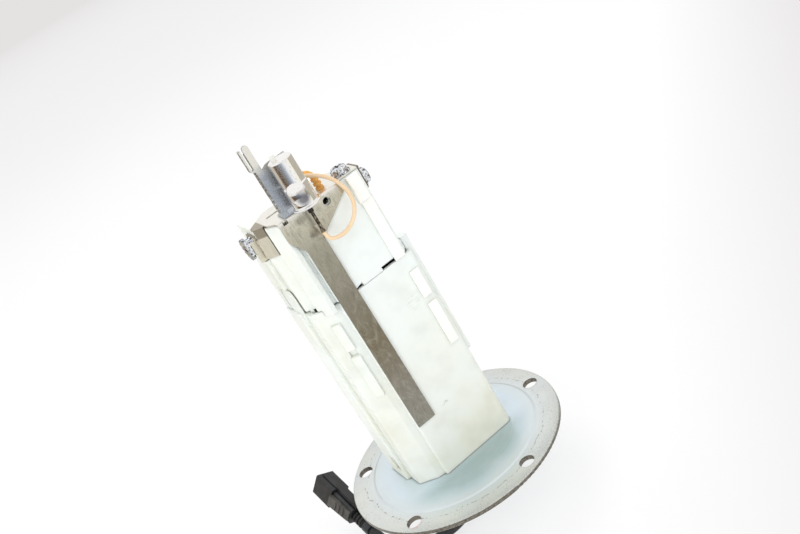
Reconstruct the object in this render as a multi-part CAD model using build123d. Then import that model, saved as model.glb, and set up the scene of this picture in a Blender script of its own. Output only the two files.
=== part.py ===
from build123d import *
from math import atan2, cos, degrees, hypot, pi, radians, sin, sqrt, tan
import os

# Fuel pump module of a motorcycle tank, in millimetres.
#
# Origin: centre of the flange's upper face, which seals against the tank.
# +Z runs up the module's axis into the tank, +X along the wide front face,
# and -Y points out of that face. The module is held by its flange bolts.

# ------------------------------------------------------------------ fits
RUN_GAP = 0.03          # radial clearance of the shaft in its bushes
SLIDE_GAP = 0.3         # clearance round curved pieces that move
SEAT_GAP = 0.05         # clearance of pieces pushed into one another
PLAY = 0.15             # clearance of moulded pieces that clip together

# ---------------------------------------------------------------- flange
FLANGE_RADIUS = 52.5
FLANGE_THICK = 2.3
SEAT_RISE = 0.5         # the middle is pressed up inside the gasket band
SEAT_RADIUS = FLANGE_RADIUS - 12.0
SEAT_SLOPE = 1.0
BOLT_EDGE = 6.0         # bolt centre to the rim
BOLT_CIRCLE = 2 * (FLANGE_RADIUS - BOLT_EDGE)
BOLT_COUNT = 5
BOLT_HOLE_RADIUS = 3.5
FIRST_BOLT_ANGLE = -147.5
RIM_ROUND = 0.5

# --------------------------------------------- plan of the white housings
FRONT = -15.8
BACK = 25.0
RIGHT = 25.2
LEFT = -24.5
FACE_LEFT = -13.2       # left edge of the wide front face
FACE_STEP = 2.0         # depth of the step beside that edge
SLANT_NEAR = (-16.8, -13.2)
SLANT_FAR_Y = -7.5
WALL = 1.8
CORNER_ROUND = 2.5
BACK_ROUND = 5.0

RAIL_DEPTH = 2.0        # thicker bands down both sides
RAIL_FRONT = 1.0
RAIL_BACK = 17.0

UPPER_RIGHT = 22.6
UPPER_LEFT = -24.0
UPPER_BACK = 24.0
POST_FRONT_X = -17.6    # front left corner post of the upper housing
POST_BACK = (-21.2, -8.9)
POST_INNER = (-20.4, -6.6)
TAB_FACE_END = (-24.0, -3.0)

# -------------------------------------------------------- heights, housing
SEAM = 97.2             # top of the lower housing
SEAM_GAP = 1.0
UPPER_HEIGHT = 41.8
TOP = SEAM + UPPER_HEIGHT
LIP_DEPTH = 3.0
LIP_WALL = 1.1

# ---------------------------------------------------- clip rails and bars
BAR_PROUD = 1.2
BAR_HEIGHTS = ((SEAM - 46.4, SEAM - 24.4), (SEAM - 21.0, SEAM - 7.6))
BAR_RIGHT = (18.6, 22.9)
BAR_LEFT_SPAN = 4.3     # width of the bars on the slanted face
SIDE_RIB = (SEAM - 55.2, SEAM)
SIDE_RIB_PROUD = 1.7
SIDE_RIB_Y = (-13.2, -8.0)
COLLAR_RISE = 6.0       # right wall stands up beside the upper housing
COLLAR_TOP = SEAM + COLLAR_RISE
COLLAR_WALL = 1.5
LUG_WIDTH = 11.0        # rounded lug of the lower housing, left side
LUG_Y = 4.0
LUG_TOP = SEAM + 12.3
LUG_THICK = 1.1
SLOT_X = (9.6, 17.2)    # deep notch at the right end of the seam
SLOT_RISE = 0.9
SEAM_SHUT = (-0.5, 9.6)  # here the upper housing's front edge closes the seam
SEAM_WEDGE = 3.7        # beside the strap the gap opens over this length
WEDGE_RISE = 0.9
GUIDE_X = (16.2, 21.3)  # raised guide on the upper housing's front
GUIDE_PROUD = 0.9
GUIDE_HEAD_X = (15.4, 20.9)
GUIDE_HEAD_PROUD = 1.7
GUIDE_HEAD_BOTTOM = TOP - 12.0
POST_TAIL = 3.2         # the post hangs this far below the upper housing

# ------------------------------------------------------------ base bracket
CLIP_SHEET = 0.8
CLIP_Y = (2.0, 7.0)
CLIP_TOP = 15.0
BARB_BOTTOM = 5.4
BARB_TOP = 12.6
BARB_REACH = 2.6
WINDOW_MARGIN = 0.4

# ---------------------------------------------------------------- bracket
SHEET = 0.9
FOLD_ROUND = 0.7
STRAP_WIDTH = 9.0
STRAP_BOTTOM = 29.0
NECK_LOW = TOP - 15.0
NECK_HIGH = TOP - 8.0
EAR_RIGHT = 12.8
EAR_LOW = TOP - 14.0
EAR_SIDE_LOW = TOP - 3.4
EAR_FOLD_X = 10.7
EAR_HOLE = (4.2, TOP - 2.8)
EAR_HOLE_RADIUS = 1.7
EAR_BORE_RADIUS = 1.55  # hole behind it in the housing's front wall
DIMPLE = (-6.0, TOP - 10.9)
DIMPLE_RADIUS = 3.2
DIMPLE_HEIGHT = 1.1
PLATE_FRONT_RIGHT = -14.4
PLATE_SLOT = (-13.7, -1.0)
NOTCH_X = -14.6
NOTCH_RADIUS = 1.1
SLANT_TAB_BOTTOM = TOP - 12.8
LEFT_TAB_Y = (0.6, 12.0)
LEFT_TAB_Z = (TOP - 13.8, TOP - 2.6)
LEFT_TAB_LIP = 2.4      # the left tab's front edge is bent out this far
LEFT_TAB_LIP_TOP = TOP - 4.4
LEFT_TAB_SLOT = ((-1.3, 0.3), (TOP - 10.2, TOP - 6.2))
RIGHT_TAB_Y = (-13.6, -4.9)
RIGHT_TAB_BOTTOM = TOP - 10.4
SCREW_RADIUS = 2.0
SCREW_LENGTH = 8.0
HEAD_RADIUS = 3.6
HEAD_HEIGHT = 2.4
WASHER_RADIUS = 4.3
WASHER_THICK = 0.8
WASHER_TEETH = 12
KNOB_COLLAR = (3.9, 1.8)    # radius and height under the toothed head
KNOB_HEAD = (5.0, 1.6)
KNOB_TEETH = 14
LEFT_SCREW = (6.2, TOP - 7.2)
RIGHT_SCREW = (-9.3, TOP - 5.6)
TOP_SCREW = (16.8, -10.0)

# ------------------------------------------------------ low-fuel sensor
SENSOR_SHEET = 0.8
SENSOR_BACK = -15.6     # front face of the sensor's upright plate
SENSOR_LEFT = -13.5
SENSOR_RIGHT = 0.2
SENSOR_SHOULDER = TOP + 23.2
SENSOR_TIP = TOP + 33.6
SENSOR_ARM_WIDTH = 2.7
SENSOR_FLANGE_DEPTH = 3.6
SENSOR_FOOT_DEPTH = 8.0
SENSOR_PIT = (-8.6, TOP + 16.3)  # shallow round pit, half hidden by the can
SENSOR_PIT_RADIUS = 2.0
CLIP_BOTTOM = TOP + 24.0
CLIP_END = TOP + 32.6
CAN_X = -4.4
CAN_RADIUS = 5.2
CAN_TOP_RADIUS = 4.95
CAN_STEP = TOP + 12.0
CAN_WALL = 0.4
CAN_BOTTOM = TOP + 2.0
CAN_TOP = TOP + 23.4
LIP_RADIUS = 6.2
LIP_THICK = 0.9
BOSS_HEIGHT_Z = TOP + 8.0   # pressed dome low on the can
BOSS_RADIUS = 3.6
BOSS_RISE = 0.9
BOSS_ANGLE = -105.0
SLEEVE_RADIUS = 0.7
SLEEVE_HEAD = (1.15, 3.0)   # radius and length of its head, at the can
SLEEVE_BEAD = (0.95, 1.0)   # and of the bead where the wire starts
SLEEVE_TOP = TOP + 1.3
SLEEVE_BOTTOM = TOP - 10.8
SENSOR_WIRE = 1.7
BOOT = (6.4, -10.2)
BOOT_RADIUS = 1.25
BOOT_RING = 1.75
BOOT_END = (3.4, -10.3, TOP + 9.7)
WIRE_LOOP = (            # X, Y and height above the top of the wire's free loop
    (-2.4, -20.7, -15.8),
    (3.0, -20.6, -16.7),
    (8.6, -20.5, -14.4),
    (12.2, -20.3, -9.7),
    (13.0, -19.8, -4.4),
    (12.1, -18.6, 0.0),
    (10.4, -17.0, 3.9),
    (7.4, -15.1, 7.0),
    (4.2, -13.8, 9.0),
    (1.8, -12.4, 10.2),
    (1.5, -10.42, 10.53),
)

# ------------------------------------------------------------------ pump
PUMP = (5.0, 4.6)
PUMP_BOTTOM = 23.0
SHELF = 1.6
CASE_RADIUS = 17.0
CASE_WALL = 1.1
CASE_TOP = SEAM - 6.2
CRIMP = 1.0
CRIMP_RADIUS = 14.0
INLET_HEIGHT = 7.0
INLET_NOZZLE = (6.5, -4.0)
INLET_NOZZLE_RADIUS = 4.6
INLET_NOZZLE_LENGTH = 6.0
IMPELLER_RADIUS = 13.4
IMPELLER_THICK = 3.0
IMPELLER_GAP = 0.06
VANES = 30
CASING_HEIGHT = 7.0
SHAFT_RADIUS = 1.5
SHAFT_BOTTOM = PUMP_BOTTOM + 6.6
SHAFT_TOP = CASE_TOP - 4.6
BUSH_RADIUS = 3.0
BUSH_LENGTH = 5.4
ARMATURE_RADIUS = 11.5
ARMATURE = (PUMP_BOTTOM + 21.5, CASE_TOP - 21.5)
ARMATURE_SLOTS = 8
WINDING_OVERHANG = 2.6
COMMUTATOR_RADIUS = 9.6
COMMUTATOR_THICK = 3.6
MAGNET_INNER = 12.5
MAGNET_ANGLE = 126.0
BRUSH = (4.4, 4.0, 8.0)
BRUSH_OFFSET = 6.6
BRUSH_GAP = 0.05
BRUSH_SPRING = 6.0
COVER_SKIRT = CASE_TOP - 13.2   # underside of the brush holder
COVER_NECK = CASE_TOP + 2.0
NIPPLE_RADIUS = 4.5
NIPPLE_TOP = COVER_NECK + 11.6
VALVE_BORE = 3.0
VALVE_SEAT = COVER_NECK + 2.0
VALVE_SEAT_HOLE = 1.6
VALVE_LENGTH = 3.6
CAGE_BOTTOM = NIPPLE_TOP - 2.0
RELIEF_OFFSET = 10.4
RELIEF_SEAT = CASE_TOP - 9.0
RELIEF_HOLE = 1.2
RELIEF_BALL = 1.7
RELIEF_BORE = 2.1
RELIEF_PLUG = (CASE_TOP - 1.4, CASE_TOP + 0.4)
TERMINAL_ANGLES = (-75.0, -42.0)
TERMINAL_RADIUS = 11.6

# ---------------------------------------------------------------- filter
CANISTER_RADIUS = 15.6
CANISTER_WALL = 1.4
CANISTER_FLOOR = (COVER_NECK + 3.2, COVER_NECK + 7.2)
CANISTER_TOP = TOP - 8.0
LID_THICK = 2.0
ELEMENT_OUTER = 13.4
ELEMENT_INNER = 7.2
PLEATS = 36
END_CAP = 1.4

# ------------------------------------------------ fuel path, base, outlet
FEED = (-16.6, 12.2)
FEED_RADIUS = 4.0
FEED_WALL = 1.0
FEED_SOCKET = 5.5
FEED_BOTTOM = 8.5
OUTLET = (-4.0, 13.0)
PIPE_RADIUS = 3.95
PIPE_WALL = 0.9
PIPE_BEND = 10.0
PIPE_DROP = 12.5
PIPE_RUN = 26.0
BEAD_AT = 15.0          # distance of the bead from the pipe's open end
BEAD_RADIUS = 5.0
COLLAR_RADIUS = 7.0
BOSS_WALL = 1.9
MANIFOLD_TOP = 7.0
CHANNEL_RADIUS = 2.0
REGULATOR = (-12.6, -3.0)
REGULATOR_RADIUS = 7.4
REGULATOR_FLANGE = 8.2
REGULATOR_BOTTOM = 8.6
REGULATOR_JOINT = 14.6
REGULATOR_TOP = 21.2
REGULATOR_NOSE = 3.4
REGULATOR_SHELL = 0.8
REGULATOR_SEAT = 11.6

# -------------------------------------------------------------- strainer
STRAINER_X = (-3.0, 19.0)
STRAINER_Z = (4.0, 18.5)
STRAINER_FRAME = 2.0
STRAINER_BARS = 3

# ------------------------------------------------------- lead, connector
GROMMET = (3.0, -7.0)
GROMMET_RADIUS = 6.4
GROMMET_WAIST = 4.6
GROMMET_TAIL = 4.4
GROMMET_TOP = 2.3
LEAD = 4.6
LEAD_SWEEP = (           # points of the lead's free bend under the flange
    (GROMMET[0], GROMMET[1], -14.0),
    (-3.0, -8.6, -21.0),
    (-12.0, -10.5, -25.6),
    (29.5 - FLANGE_RADIUS, -11.2, -27.2),
    (18.5 - FLANGE_RADIUS, -8.6, -27.0),
    (9.5 - FLANGE_RADIUS, -2.4, -25.8),
    (3.9 - FLANGE_RADIUS, 6.4, -23.9),
)
CONNECTOR_REAR = (1.5 - FLANGE_RADIUS, FLANGE_RADIUS - 23.0, -15.0)
CONNECTOR_TILT = 67.7   # of its axis from upright, towards +Y
CONNECTOR_YAW = 2.6
CONNECTOR_ROLL = -54.0
CONNECTOR_LENGTH = 28.0
HOOD_LENGTH = 13.0
HOOD_SIDE = 10.4
HOOD_WALL = 1.2
BODY_SIDE = 8.2
SEAL_LENGTH = 7.0
SEAL_RADIUS = 3.2
PIN = (2.0, 0.7, 5.0)
PIN_PITCH = 4.0

# ------------------------------------------------- leads inside the housings
INNER_LEAD = 2.6
LEAD_CORNER = (20.6, -11.4)
LEAD_FOOT = (            # from the grommet across to the corner
    (GROMMET[0], GROMMET[1], 7.0),
    (9.4, -9.4, 10.2),
    (16.2, -10.8, 12.2),
)
LEAD_CLIMB = (           # X and Y beside the corner, and share of the way up to the pump's neck
    (0.0, 0.0, 0.178),
    (0.1, 0.0, 0.301),
    (0.0, 0.1, 0.495),
    (0.1, 0.0, 0.688),
    (0.0, 0.1, 0.849),
    (-0.2, 0.3, 0.968),
)
SIGNAL_DROP = (          # X beside the boot, Y, and share of the way down to the pump's neck
    (0.0, -10.2, 0.039),
    (0.1, -12.6, 0.096),
    (0.3, -12.7, 0.226),
    (0.4, -12.6, 0.465),
    (0.6, -12.7, 0.783),
)

UPRIGHT = (Align.CENTER, Align.CENTER, Align.MIN)
FROM_CORNER = (Align.MIN, Align.MIN, Align.MIN)
nodes = {}


# ------------------------------------------------------------ small tools
def disc(radius, bottom, top, at=(0, 0)):
    """Upright cylinder between two heights."""
    return Pos(at[0], at[1], bottom) * Cylinder(radius, top - bottom, align=UPRIGHT)


def tube(outer, inner, bottom, top, at=(0, 0)):
    """Upright tube between two heights."""
    return disc(outer, bottom, top, at) - disc(inner, bottom - 1, top + 1, at)


def block(x, y, z):
    """Box between three (low, high) pairs."""
    sizes = [high - low for low, high in (x, y, z)]
    return Pos(x[0], y[0], z[0]) * Box(*sizes, align=FROM_CORNER)


def outline(points, rounds=()):
    """Flat face on closed points; rounds pairs a point's number with a radius."""
    face = make_face(Polyline(*points, close=True)).face()
    for number, radius in rounds:
        corner = face.vertices().sort_by_distance((*points[number], 0))[0]
        face = face.fillet_2d(radius, [corner])
    return face


def prism(face, bottom, top):
    """Upright solid on a flat face."""
    return Pos(0, 0, bottom) * extrude(face, top - bottom, dir=(0, 0, 1))


def standing(points, y, depth, rounds=()):
    """Sheet standing in an XZ plane: (x, z) points, pulled from y towards +Y."""
    face = outline(points, rounds)
    return Pos(0, y + depth, 0) * Rot(90, 0, 0) * extrude(face, depth, dir=(0, 0, 1))


def sideways(points, x, depth, rounds=()):
    """Sheet standing in a YZ plane: (y, z) points, pulled from x towards +X."""
    face = outline(points, rounds)
    return Plane.YZ.offset(x) * extrude(face, depth, dir=(0, 0, 1))


def turned(points, at=(0, 0)):
    """Body of revolution about an upright axis from (radius, height) points."""
    face = make_face(Polyline(*[(radius, 0, z) for radius, z in points], close=True))
    return Pos(at[0], at[1], 0) * revolve(face, Axis.Z)


def around(centre, radius, angle):
    """Point at an angle about a centre."""
    turn = radians(angle)
    return (centre[0] + radius * cos(turn), centre[1] + radius * sin(turn))


def spring(radius, wire, bottom, top, turns, at):
    """Round-wire compression spring between two heights."""
    rise = top - bottom - wire
    path = Helix(rise / turns, rise, radius)
    section = Plane(origin=path @ 0, z_dir=path % 0) * Circle(wire / 2)
    return Pos(at[0], at[1], bottom + wire / 2) * sweep(section, path)


def o_ring(inner, outer, height, at):
    """O-ring that fills the gap between two radii."""
    section = (outer - inner) / 2
    return Pos(at[0], at[1], height) * Torus(inner + section, section)


def corner_radii(points):
    """Radius of the arc at each inner corner of a route, and a printed check."""
    radii = []
    for before, corner, after in zip(points, points[1:], points[2:]):
        arriving = Vector(*corner) - Vector(*before)
        leaving = Vector(*after) - Vector(*corner)
        turn = radians(arriving.get_angle(leaving))
        radii.append(0.45 * min(arriving.length, leaving.length) / tan(turn / 2))
    return radii


def wire_along(points, diameter, name):
    """Round wire on straight runs joined by tangent arcs."""
    radii = corner_radii(points)
    path = FilletPolyline(*points, radius=radii)
    section = Plane(origin=path @ 0, z_dir=path % 0) * Circle(diameter / 2)
    wire = sweep(section, path)
    print(name, "radii", [round(radius, 1) for radius in radii], "length", round(path.length, 1))
    print(name, "volume over section times length", wire.volume / (pi * diameter ** 2 / 4 * path.length))
    return wire


# ---------------------------------------------------------------- flange
def flange_plate():
    """Pressed steel disc with a raised seat, its bolt holes and two ports."""
    low = SEAT_RISE - FLANGE_THICK
    plate = turned([
        (0, low),
        (SEAT_RADIUS - SEAT_SLOPE, low),
        (SEAT_RADIUS, -FLANGE_THICK),
        (FLANGE_RADIUS, -FLANGE_THICK),
        (FLANGE_RADIUS, 0),
        (SEAT_RADIUS + SEAT_SLOPE, 0),
        (SEAT_RADIUS, SEAT_RISE),
        (0, SEAT_RISE),
    ])
    rims = plate.edges().filter_by(GeomType.CIRCLE).filter_by(lambda rim: rim.radius > FLANGE_RADIUS - 0.1)
    plate = fillet(rims, RIM_ROUND)
    for number in range(BOLT_COUNT):
        angle = FIRST_BOLT_ANGLE + number * 360 / BOLT_COUNT
        hole = around((0, 0), BOLT_CIRCLE / 2, angle)
        plate -= disc(BOLT_HOLE_RADIUS, -FLANGE_THICK - 1, 1, hole)
    plate -= disc(PIPE_RADIUS + SEAT_GAP, low - 1, SEAT_RISE + 1, OUTLET)
    plate -= disc(GROMMET_WAIST, low - 1, SEAT_RISE + 1, GROMMET)
    return plate


def clip_walls():
    """Inner faces of the lower housing's two side walls."""
    return LEFT + WALL, RIGHT - WALL


def base_bracket():
    """Sheet strap welded across the flange, with a barbed blade at each end."""
    left, right = clip_walls()
    floor = SEAT_RISE
    strap = block((left + PLAY, right - PLAY), CLIP_Y, (floor, floor + CLIP_SHEET))
    for inner, outward in ((left + PLAY, -1), (right - PLAY, 1)):
        far = inner - outward * CLIP_SHEET
        strap += block(sorted((inner, far)), CLIP_Y, (floor, CLIP_TOP))
        barb = [(inner, BARB_BOTTOM), (inner + outward * BARB_REACH, BARB_BOTTOM), (inner, BARB_TOP)]
        strap += standing(barb, CLIP_Y[0], CLIP_Y[1] - CLIP_Y[0])
    return strap


# --------------------------------------------------------- lower housing
def lower_points():
    """Plan of the lower housing, clockwise from the front face's left edge."""
    return [
        (FACE_LEFT, FRONT),
        (RIGHT, FRONT),
        (RIGHT, BACK),
        (LEFT, BACK),
        (LEFT, SLANT_FAR_Y),
        SLANT_NEAR,
        (FACE_LEFT - 0.4, FRONT + FACE_STEP),
    ]


def lower_cavity():
    """Plan of the space inside the lower housing."""
    return offset(outline(lower_points()), -WALL, kind=Kind.INTERSECTION).face()


def slant_frame():
    """Plane on the slanted face: X along it towards the front, Z out of it."""
    along = Vector(SLANT_NEAR[0] - LEFT, SLANT_NEAR[1] - SLANT_FAR_Y, 0).normalized()
    outward = Vector(along.Y, -along.X, 0)
    return Plane(origin=(*SLANT_NEAR, 0), x_dir=along, z_dir=outward)


def slant_bars():
    """Two raised bars beside the front edge of the slanted face."""
    frame = slant_frame()
    bars = []
    for low, high in BAR_HEIGHTS:
        spot = frame * Pos(-BAR_LEFT_SPAN / 2, (low + high) / 2, (BAR_PROUD - WALL / 2) / 2)
        bars.append(spot * Box(BAR_LEFT_SPAN, high - low, BAR_PROUD + WALL / 2))
    return bars


def lower_housing():
    """Tall moulded box that carries the pump and clips over the base bracket."""
    rounds = [(1, CORNER_ROUND), (2, BACK_ROUND), (3, BACK_ROUND), (4, 1.2), (0, 0.5), (5, 0.8)]
    solid = prism(outline(lower_points(), rounds), SEAT_RISE, SEAM)
    rail_y = (RAIL_FRONT, RAIL_BACK)
    for inner, outer in ((LEFT, LEFT - RAIL_DEPTH), (RIGHT, RIGHT + RAIL_DEPTH)):
        rail = block(sorted((outer, inner)), rail_y, (SEAT_RISE, SEAM))
        edges = rail.edges().filter_by(Axis.Z).filter_by(lambda edge: abs(edge.center().X - outer) < 0.1)
        solid += fillet(edges, 0.9)
    collar_y = (FRONT + CORNER_ROUND, BACK - BACK_ROUND)
    solid += block((RIGHT - COLLAR_WALL, RIGHT), collar_y, (SEAM - 1, COLLAR_TOP))
    solid += block((RIGHT - WALL, RIGHT + SIDE_RIB_PROUD), SIDE_RIB_Y, SIDE_RIB)
    solid += block((RIGHT - COLLAR_WALL, RIGHT + SIDE_RIB_PROUD), SIDE_RIB_Y, (SEAM, COLLAR_TOP))
    for low, high in BAR_HEIGHTS:
        bar = block(BAR_RIGHT, (FRONT - BAR_PROUD, FRONT + WALL / 2), (low, high))
        solid += fillet(bar.edges().group_by(Axis.Y)[0], 0.35)
    for bar in slant_bars():
        solid += bar
    solid += lug()
    floor = PUMP_BOTTOM - SHELF
    solid -= prism(lower_cavity(), SEAT_RISE - 1, floor)
    solid -= prism(lower_cavity(), PUMP_BOTTOM, COLLAR_TOP + 1)
    solid -= disc(CRIMP_RADIUS - 1, floor - 1, PUMP_BOTTOM + 1, PUMP)
    solid -= disc(FEED_RADIUS + PLAY, floor - 1, PUMP_BOTTOM + 1, FEED)
    solid -= disc(INNER_LEAD / 2 + 0.6, floor - 1, PUMP_BOTTOM + 1, LEAD_CORNER)
    solid -= clip_windows()
    solid -= bar_pocket()
    solid -= block(STRAINER_X, (BACK - WALL - 1, BACK + 1), STRAINER_Z)
    return solid


def lug():
    """Rounded lug that overlaps the upper housing's left wall."""
    half = LUG_WIDTH / 2
    shape = [
        (LUG_Y - half, SEAM - 6),
        (LUG_Y + half, SEAM - 6),
        (LUG_Y + half, LUG_TOP),
        (LUG_Y - half, LUG_TOP),
    ]
    rounds = [(2, half - 0.1), (3, half - 0.1)]
    return sideways(shape, LEFT - LUG_THICK, LUG_THICK, rounds)


def clip_windows():
    """Windows in both side walls that the base bracket's barbs look through."""
    y = (CLIP_Y[0] - WINDOW_MARGIN, CLIP_Y[1] + WINDOW_MARGIN)
    z = (BARB_BOTTOM - WINDOW_MARGIN, BARB_TOP + WINDOW_MARGIN)
    left = block((LEFT - RAIL_DEPTH - 1, LEFT + WALL + 1), y, z)
    right = block((RIGHT - WALL - 1, RIGHT + RAIL_DEPTH + 1), y, z)
    return left + right


def bar_pocket():
    """Small square pocket between the two bars of the slanted face."""
    low = BAR_HEIGHTS[0][1]
    high = BAR_HEIGHTS[1][0]
    width = high - low
    spot = slant_frame() * Pos(-width / 2 - 0.6, (low + high) / 2, 0)
    return spot * Box(width, width, 2 * WALL / 3)


# --------------------------------------------------------- upper housing
def upper_points():
    """Plan of the upper housing, clockwise from the front face's left edge."""
    return [
        (FACE_LEFT, FRONT),
        (UPPER_RIGHT, FRONT),
        (UPPER_RIGHT, UPPER_BACK),
        (UPPER_LEFT, UPPER_BACK),
        TAB_FACE_END,
        POST_INNER,
        POST_BACK,
        (POST_FRONT_X, FRONT),
        (POST_FRONT_X + 2.2, FRONT + 0.4),
        (POST_FRONT_X + 2.4, FRONT + FACE_STEP),
        (FACE_LEFT - 0.4, FRONT + FACE_STEP),
    ]


def upper_cavity():
    """Plan of the space inside the upper housing."""
    points = [
        (FACE_LEFT + WALL, FRONT + WALL),
        (UPPER_RIGHT - WALL, FRONT + WALL),
        (UPPER_RIGHT - WALL, UPPER_BACK - WALL),
        (UPPER_LEFT + WALL, UPPER_BACK - WALL),
        (UPPER_LEFT + WALL, TAB_FACE_END[1] + WALL),
        (POST_INNER[0] + WALL, POST_INNER[1] + WALL),
        (POST_INNER[0] + 2 * WALL, FRONT + FACE_STEP + WALL),
        (FACE_LEFT + WALL, FRONT + FACE_STEP + WALL),
    ]
    return outline(points)


def upper_housing():
    """Moulded cap over the filter, with its post, guide and screw bosses."""
    bottom = SEAM + SEAM_GAP
    rounds = [(1, 1.6), (2, BACK_ROUND), (3, BACK_ROUND), (6, 0.5), (7, 0.5)]
    solid = prism(outline(upper_points(), rounds), bottom, TOP)
    solid += post_tail()
    rail_z = (bottom, LEFT_TAB_Z[0] - 0.6)
    rail = block((UPPER_LEFT - RAIL_DEPTH, UPPER_LEFT), (RAIL_FRONT, RAIL_BACK), rail_z)
    edges = rail.edges().filter_by(Axis.Z).group_by(Axis.X)[0]
    solid += fillet(edges, 0.9)
    guide_z = (bottom - SEAM_GAP + PLAY, GUIDE_HEAD_BOTTOM + 1)
    guide = block(GUIDE_X, (FRONT - GUIDE_PROUD, FRONT + WALL / 2), guide_z)
    solid += fillet(guide.edges().group_by(Axis.Y)[0], 0.35)
    head = block(GUIDE_HEAD_X, (FRONT - GUIDE_HEAD_PROUD, FRONT + WALL / 2), (GUIDE_HEAD_BOTTOM, TOP))
    solid += fillet(head.edges().group_by(Axis.Y)[0], 0.4)
    solid -= prism(upper_cavity(), bottom - 1, TOP - WALL)
    solid += seam_lip()
    solid += screw_bosses()
    solid -= block(SLOT_X, (FRONT - 0.1, FRONT + WALL + 2), (bottom - LIP_DEPTH - 1, bottom + SLOT_RISE))
    left = SEAM_SHUT[0] - PLAY
    wedge = [
        (SEAM_SHUT[0] - SEAM_WEDGE, bottom - LIP_DEPTH - 1),
        (left, bottom - LIP_DEPTH - 1),
        (left, bottom + WEDGE_RISE),
        (SEAM_SHUT[0] - SEAM_WEDGE, bottom),
    ]
    solid -= standing(wedge, FRONT - 0.1, WALL + 2.1)
    solid += block(SEAM_SHUT, (FRONT, FRONT + WALL), (SEAM + PLAY, bottom + WALL))
    collar_x = (UPPER_RIGHT - WALL / 2, RIGHT - COLLAR_WALL - PLAY)
    solid += block(collar_x, (FRONT + CORNER_ROUND, BACK - BACK_ROUND), (bottom, COLLAR_TOP - 0.5))
    solid -= lug_seat()
    for hole in screw_holes():
        solid -= hole
    solid -= disc(SENSOR_WIRE / 2 + 3 * PLAY, TOP - WALL - 1, TOP + 1, BOOT)
    bore = Pos(EAR_HOLE[0], FRONT + WALL + 0.5, EAR_HOLE[1]) * Rot(90, 0, 0)
    return solid - bore * Cylinder(EAR_BORE_RADIUS, WALL + 1.5, align=UPRIGHT)


def post_tail():
    """End of the corner post, which hangs outside the lower housing."""
    tail = [
        (POST_FRONT_X, FRONT),
        (POST_FRONT_X + 2.2, FRONT + 0.4),
        (POST_FRONT_X + 2.4, FRONT + FACE_STEP + 2),
        (POST_BACK[0] + 1.5, POST_BACK[1] + 1.0),
        POST_BACK,
    ]
    bottom = SEAM + SEAM_GAP - POST_TAIL
    clear = offset(outline(lower_points()), PLAY, kind=Kind.INTERSECTION).face()
    return prism(outline(tail), bottom, SEAM + SEAM_GAP + 1) - prism(clear, bottom - 1, SEAM + SEAM_GAP / 2)


def seam_lip():
    """Thin lip under the upper housing that plugs into the lower one."""
    bottom = SEAM + SEAM_GAP - LIP_DEPTH - SEAM_GAP
    outer = offset(lower_cavity(), -PLAY, kind=Kind.INTERSECTION).face()
    shell = prism(outer, bottom, SEAM + SEAM_GAP + WALL) & prism(outline(upper_points()), bottom, TOP)
    inner = offset(outer, -LIP_WALL, kind=Kind.INTERSECTION).face()
    root = prism(lower_cavity(), SEAM + SEAM_GAP, SEAM + SEAM_GAP + WALL)
    shell += root & prism(outline(upper_points()), bottom, TOP)
    shell -= prism(inner, bottom - 1, TOP)
    shell -= disc(CANISTER_RADIUS + 2 * PLAY, bottom - 1, TOP, PUMP)
    shell -= disc(FEED_SOCKET + 2 * PLAY, bottom - 1, TOP, FEED)
    lead_gap_x = (BOOT[0] - 2, UPPER_RIGHT - WALL)
    return shell - block(lead_gap_x, (FRONT + WALL, LEAD_CORNER[1] + 2.4), (bottom - 1, TOP))


def lug_seat():
    """Shallow recess that clears the lower housing's lug."""
    half = LUG_WIDTH / 2 + PLAY
    y = (LUG_Y - half, LUG_Y + half)
    return block((LEFT - LUG_THICK - 2, LEFT + PLAY), y, (SEAM, LUG_TOP + PLAY))


def screw_axes():
    """Location of each bracket screw: +Z runs out through its head."""
    left = Location((UPPER_LEFT - SHEET, LEFT_SCREW[0], LEFT_SCREW[1]), (0, -90, 0))
    right = Location((UPPER_RIGHT + SHEET, RIGHT_SCREW[0], RIGHT_SCREW[1]), (0, 90, 0))
    top = Location((TOP_SCREW[0], TOP_SCREW[1], TOP + SHEET))
    return left, right, top


def screw_bosses():
    """Blocks inside the cap that the bracket screws bite into."""
    reach = SCREW_LENGTH - SHEET
    side = SCREW_RADIUS + 1.6
    left = block(
        (UPPER_LEFT + WALL / 2, UPPER_LEFT + reach),
        (LEFT_SCREW[0] - side, LEFT_SCREW[0] + side),
        (LEFT_SCREW[1] - side, LEFT_SCREW[1] + side),
    )
    right = block(
        (UPPER_RIGHT - WALL - 1.2, UPPER_RIGHT - WALL / 2),
        (RIGHT_SCREW[0] - side, RIGHT_SCREW[0] + side),
        (RIGHT_SCREW[1] - side, TOP - WALL / 2),
    )
    top = disc(side, TOP - WALL - 2.2, TOP - WALL / 2, TOP_SCREW)
    return left + right + top


def screw_lengths():
    """Shank length of each bracket screw under its washer."""
    return SCREW_LENGTH, SHEET + WALL + 1.0, SHEET + WALL + 2.0


def screw_holes():
    """Pilot holes in the cap."""
    holes = []
    for spot, length in zip(screw_axes(), screw_lengths()):
        shank = Pos(0, 0, -length - 0.4) * Cylinder(SCREW_RADIUS + SEAT_GAP, length + 1, align=UPRIGHT)
        holes.append(spot * shank)
    return holes


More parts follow.
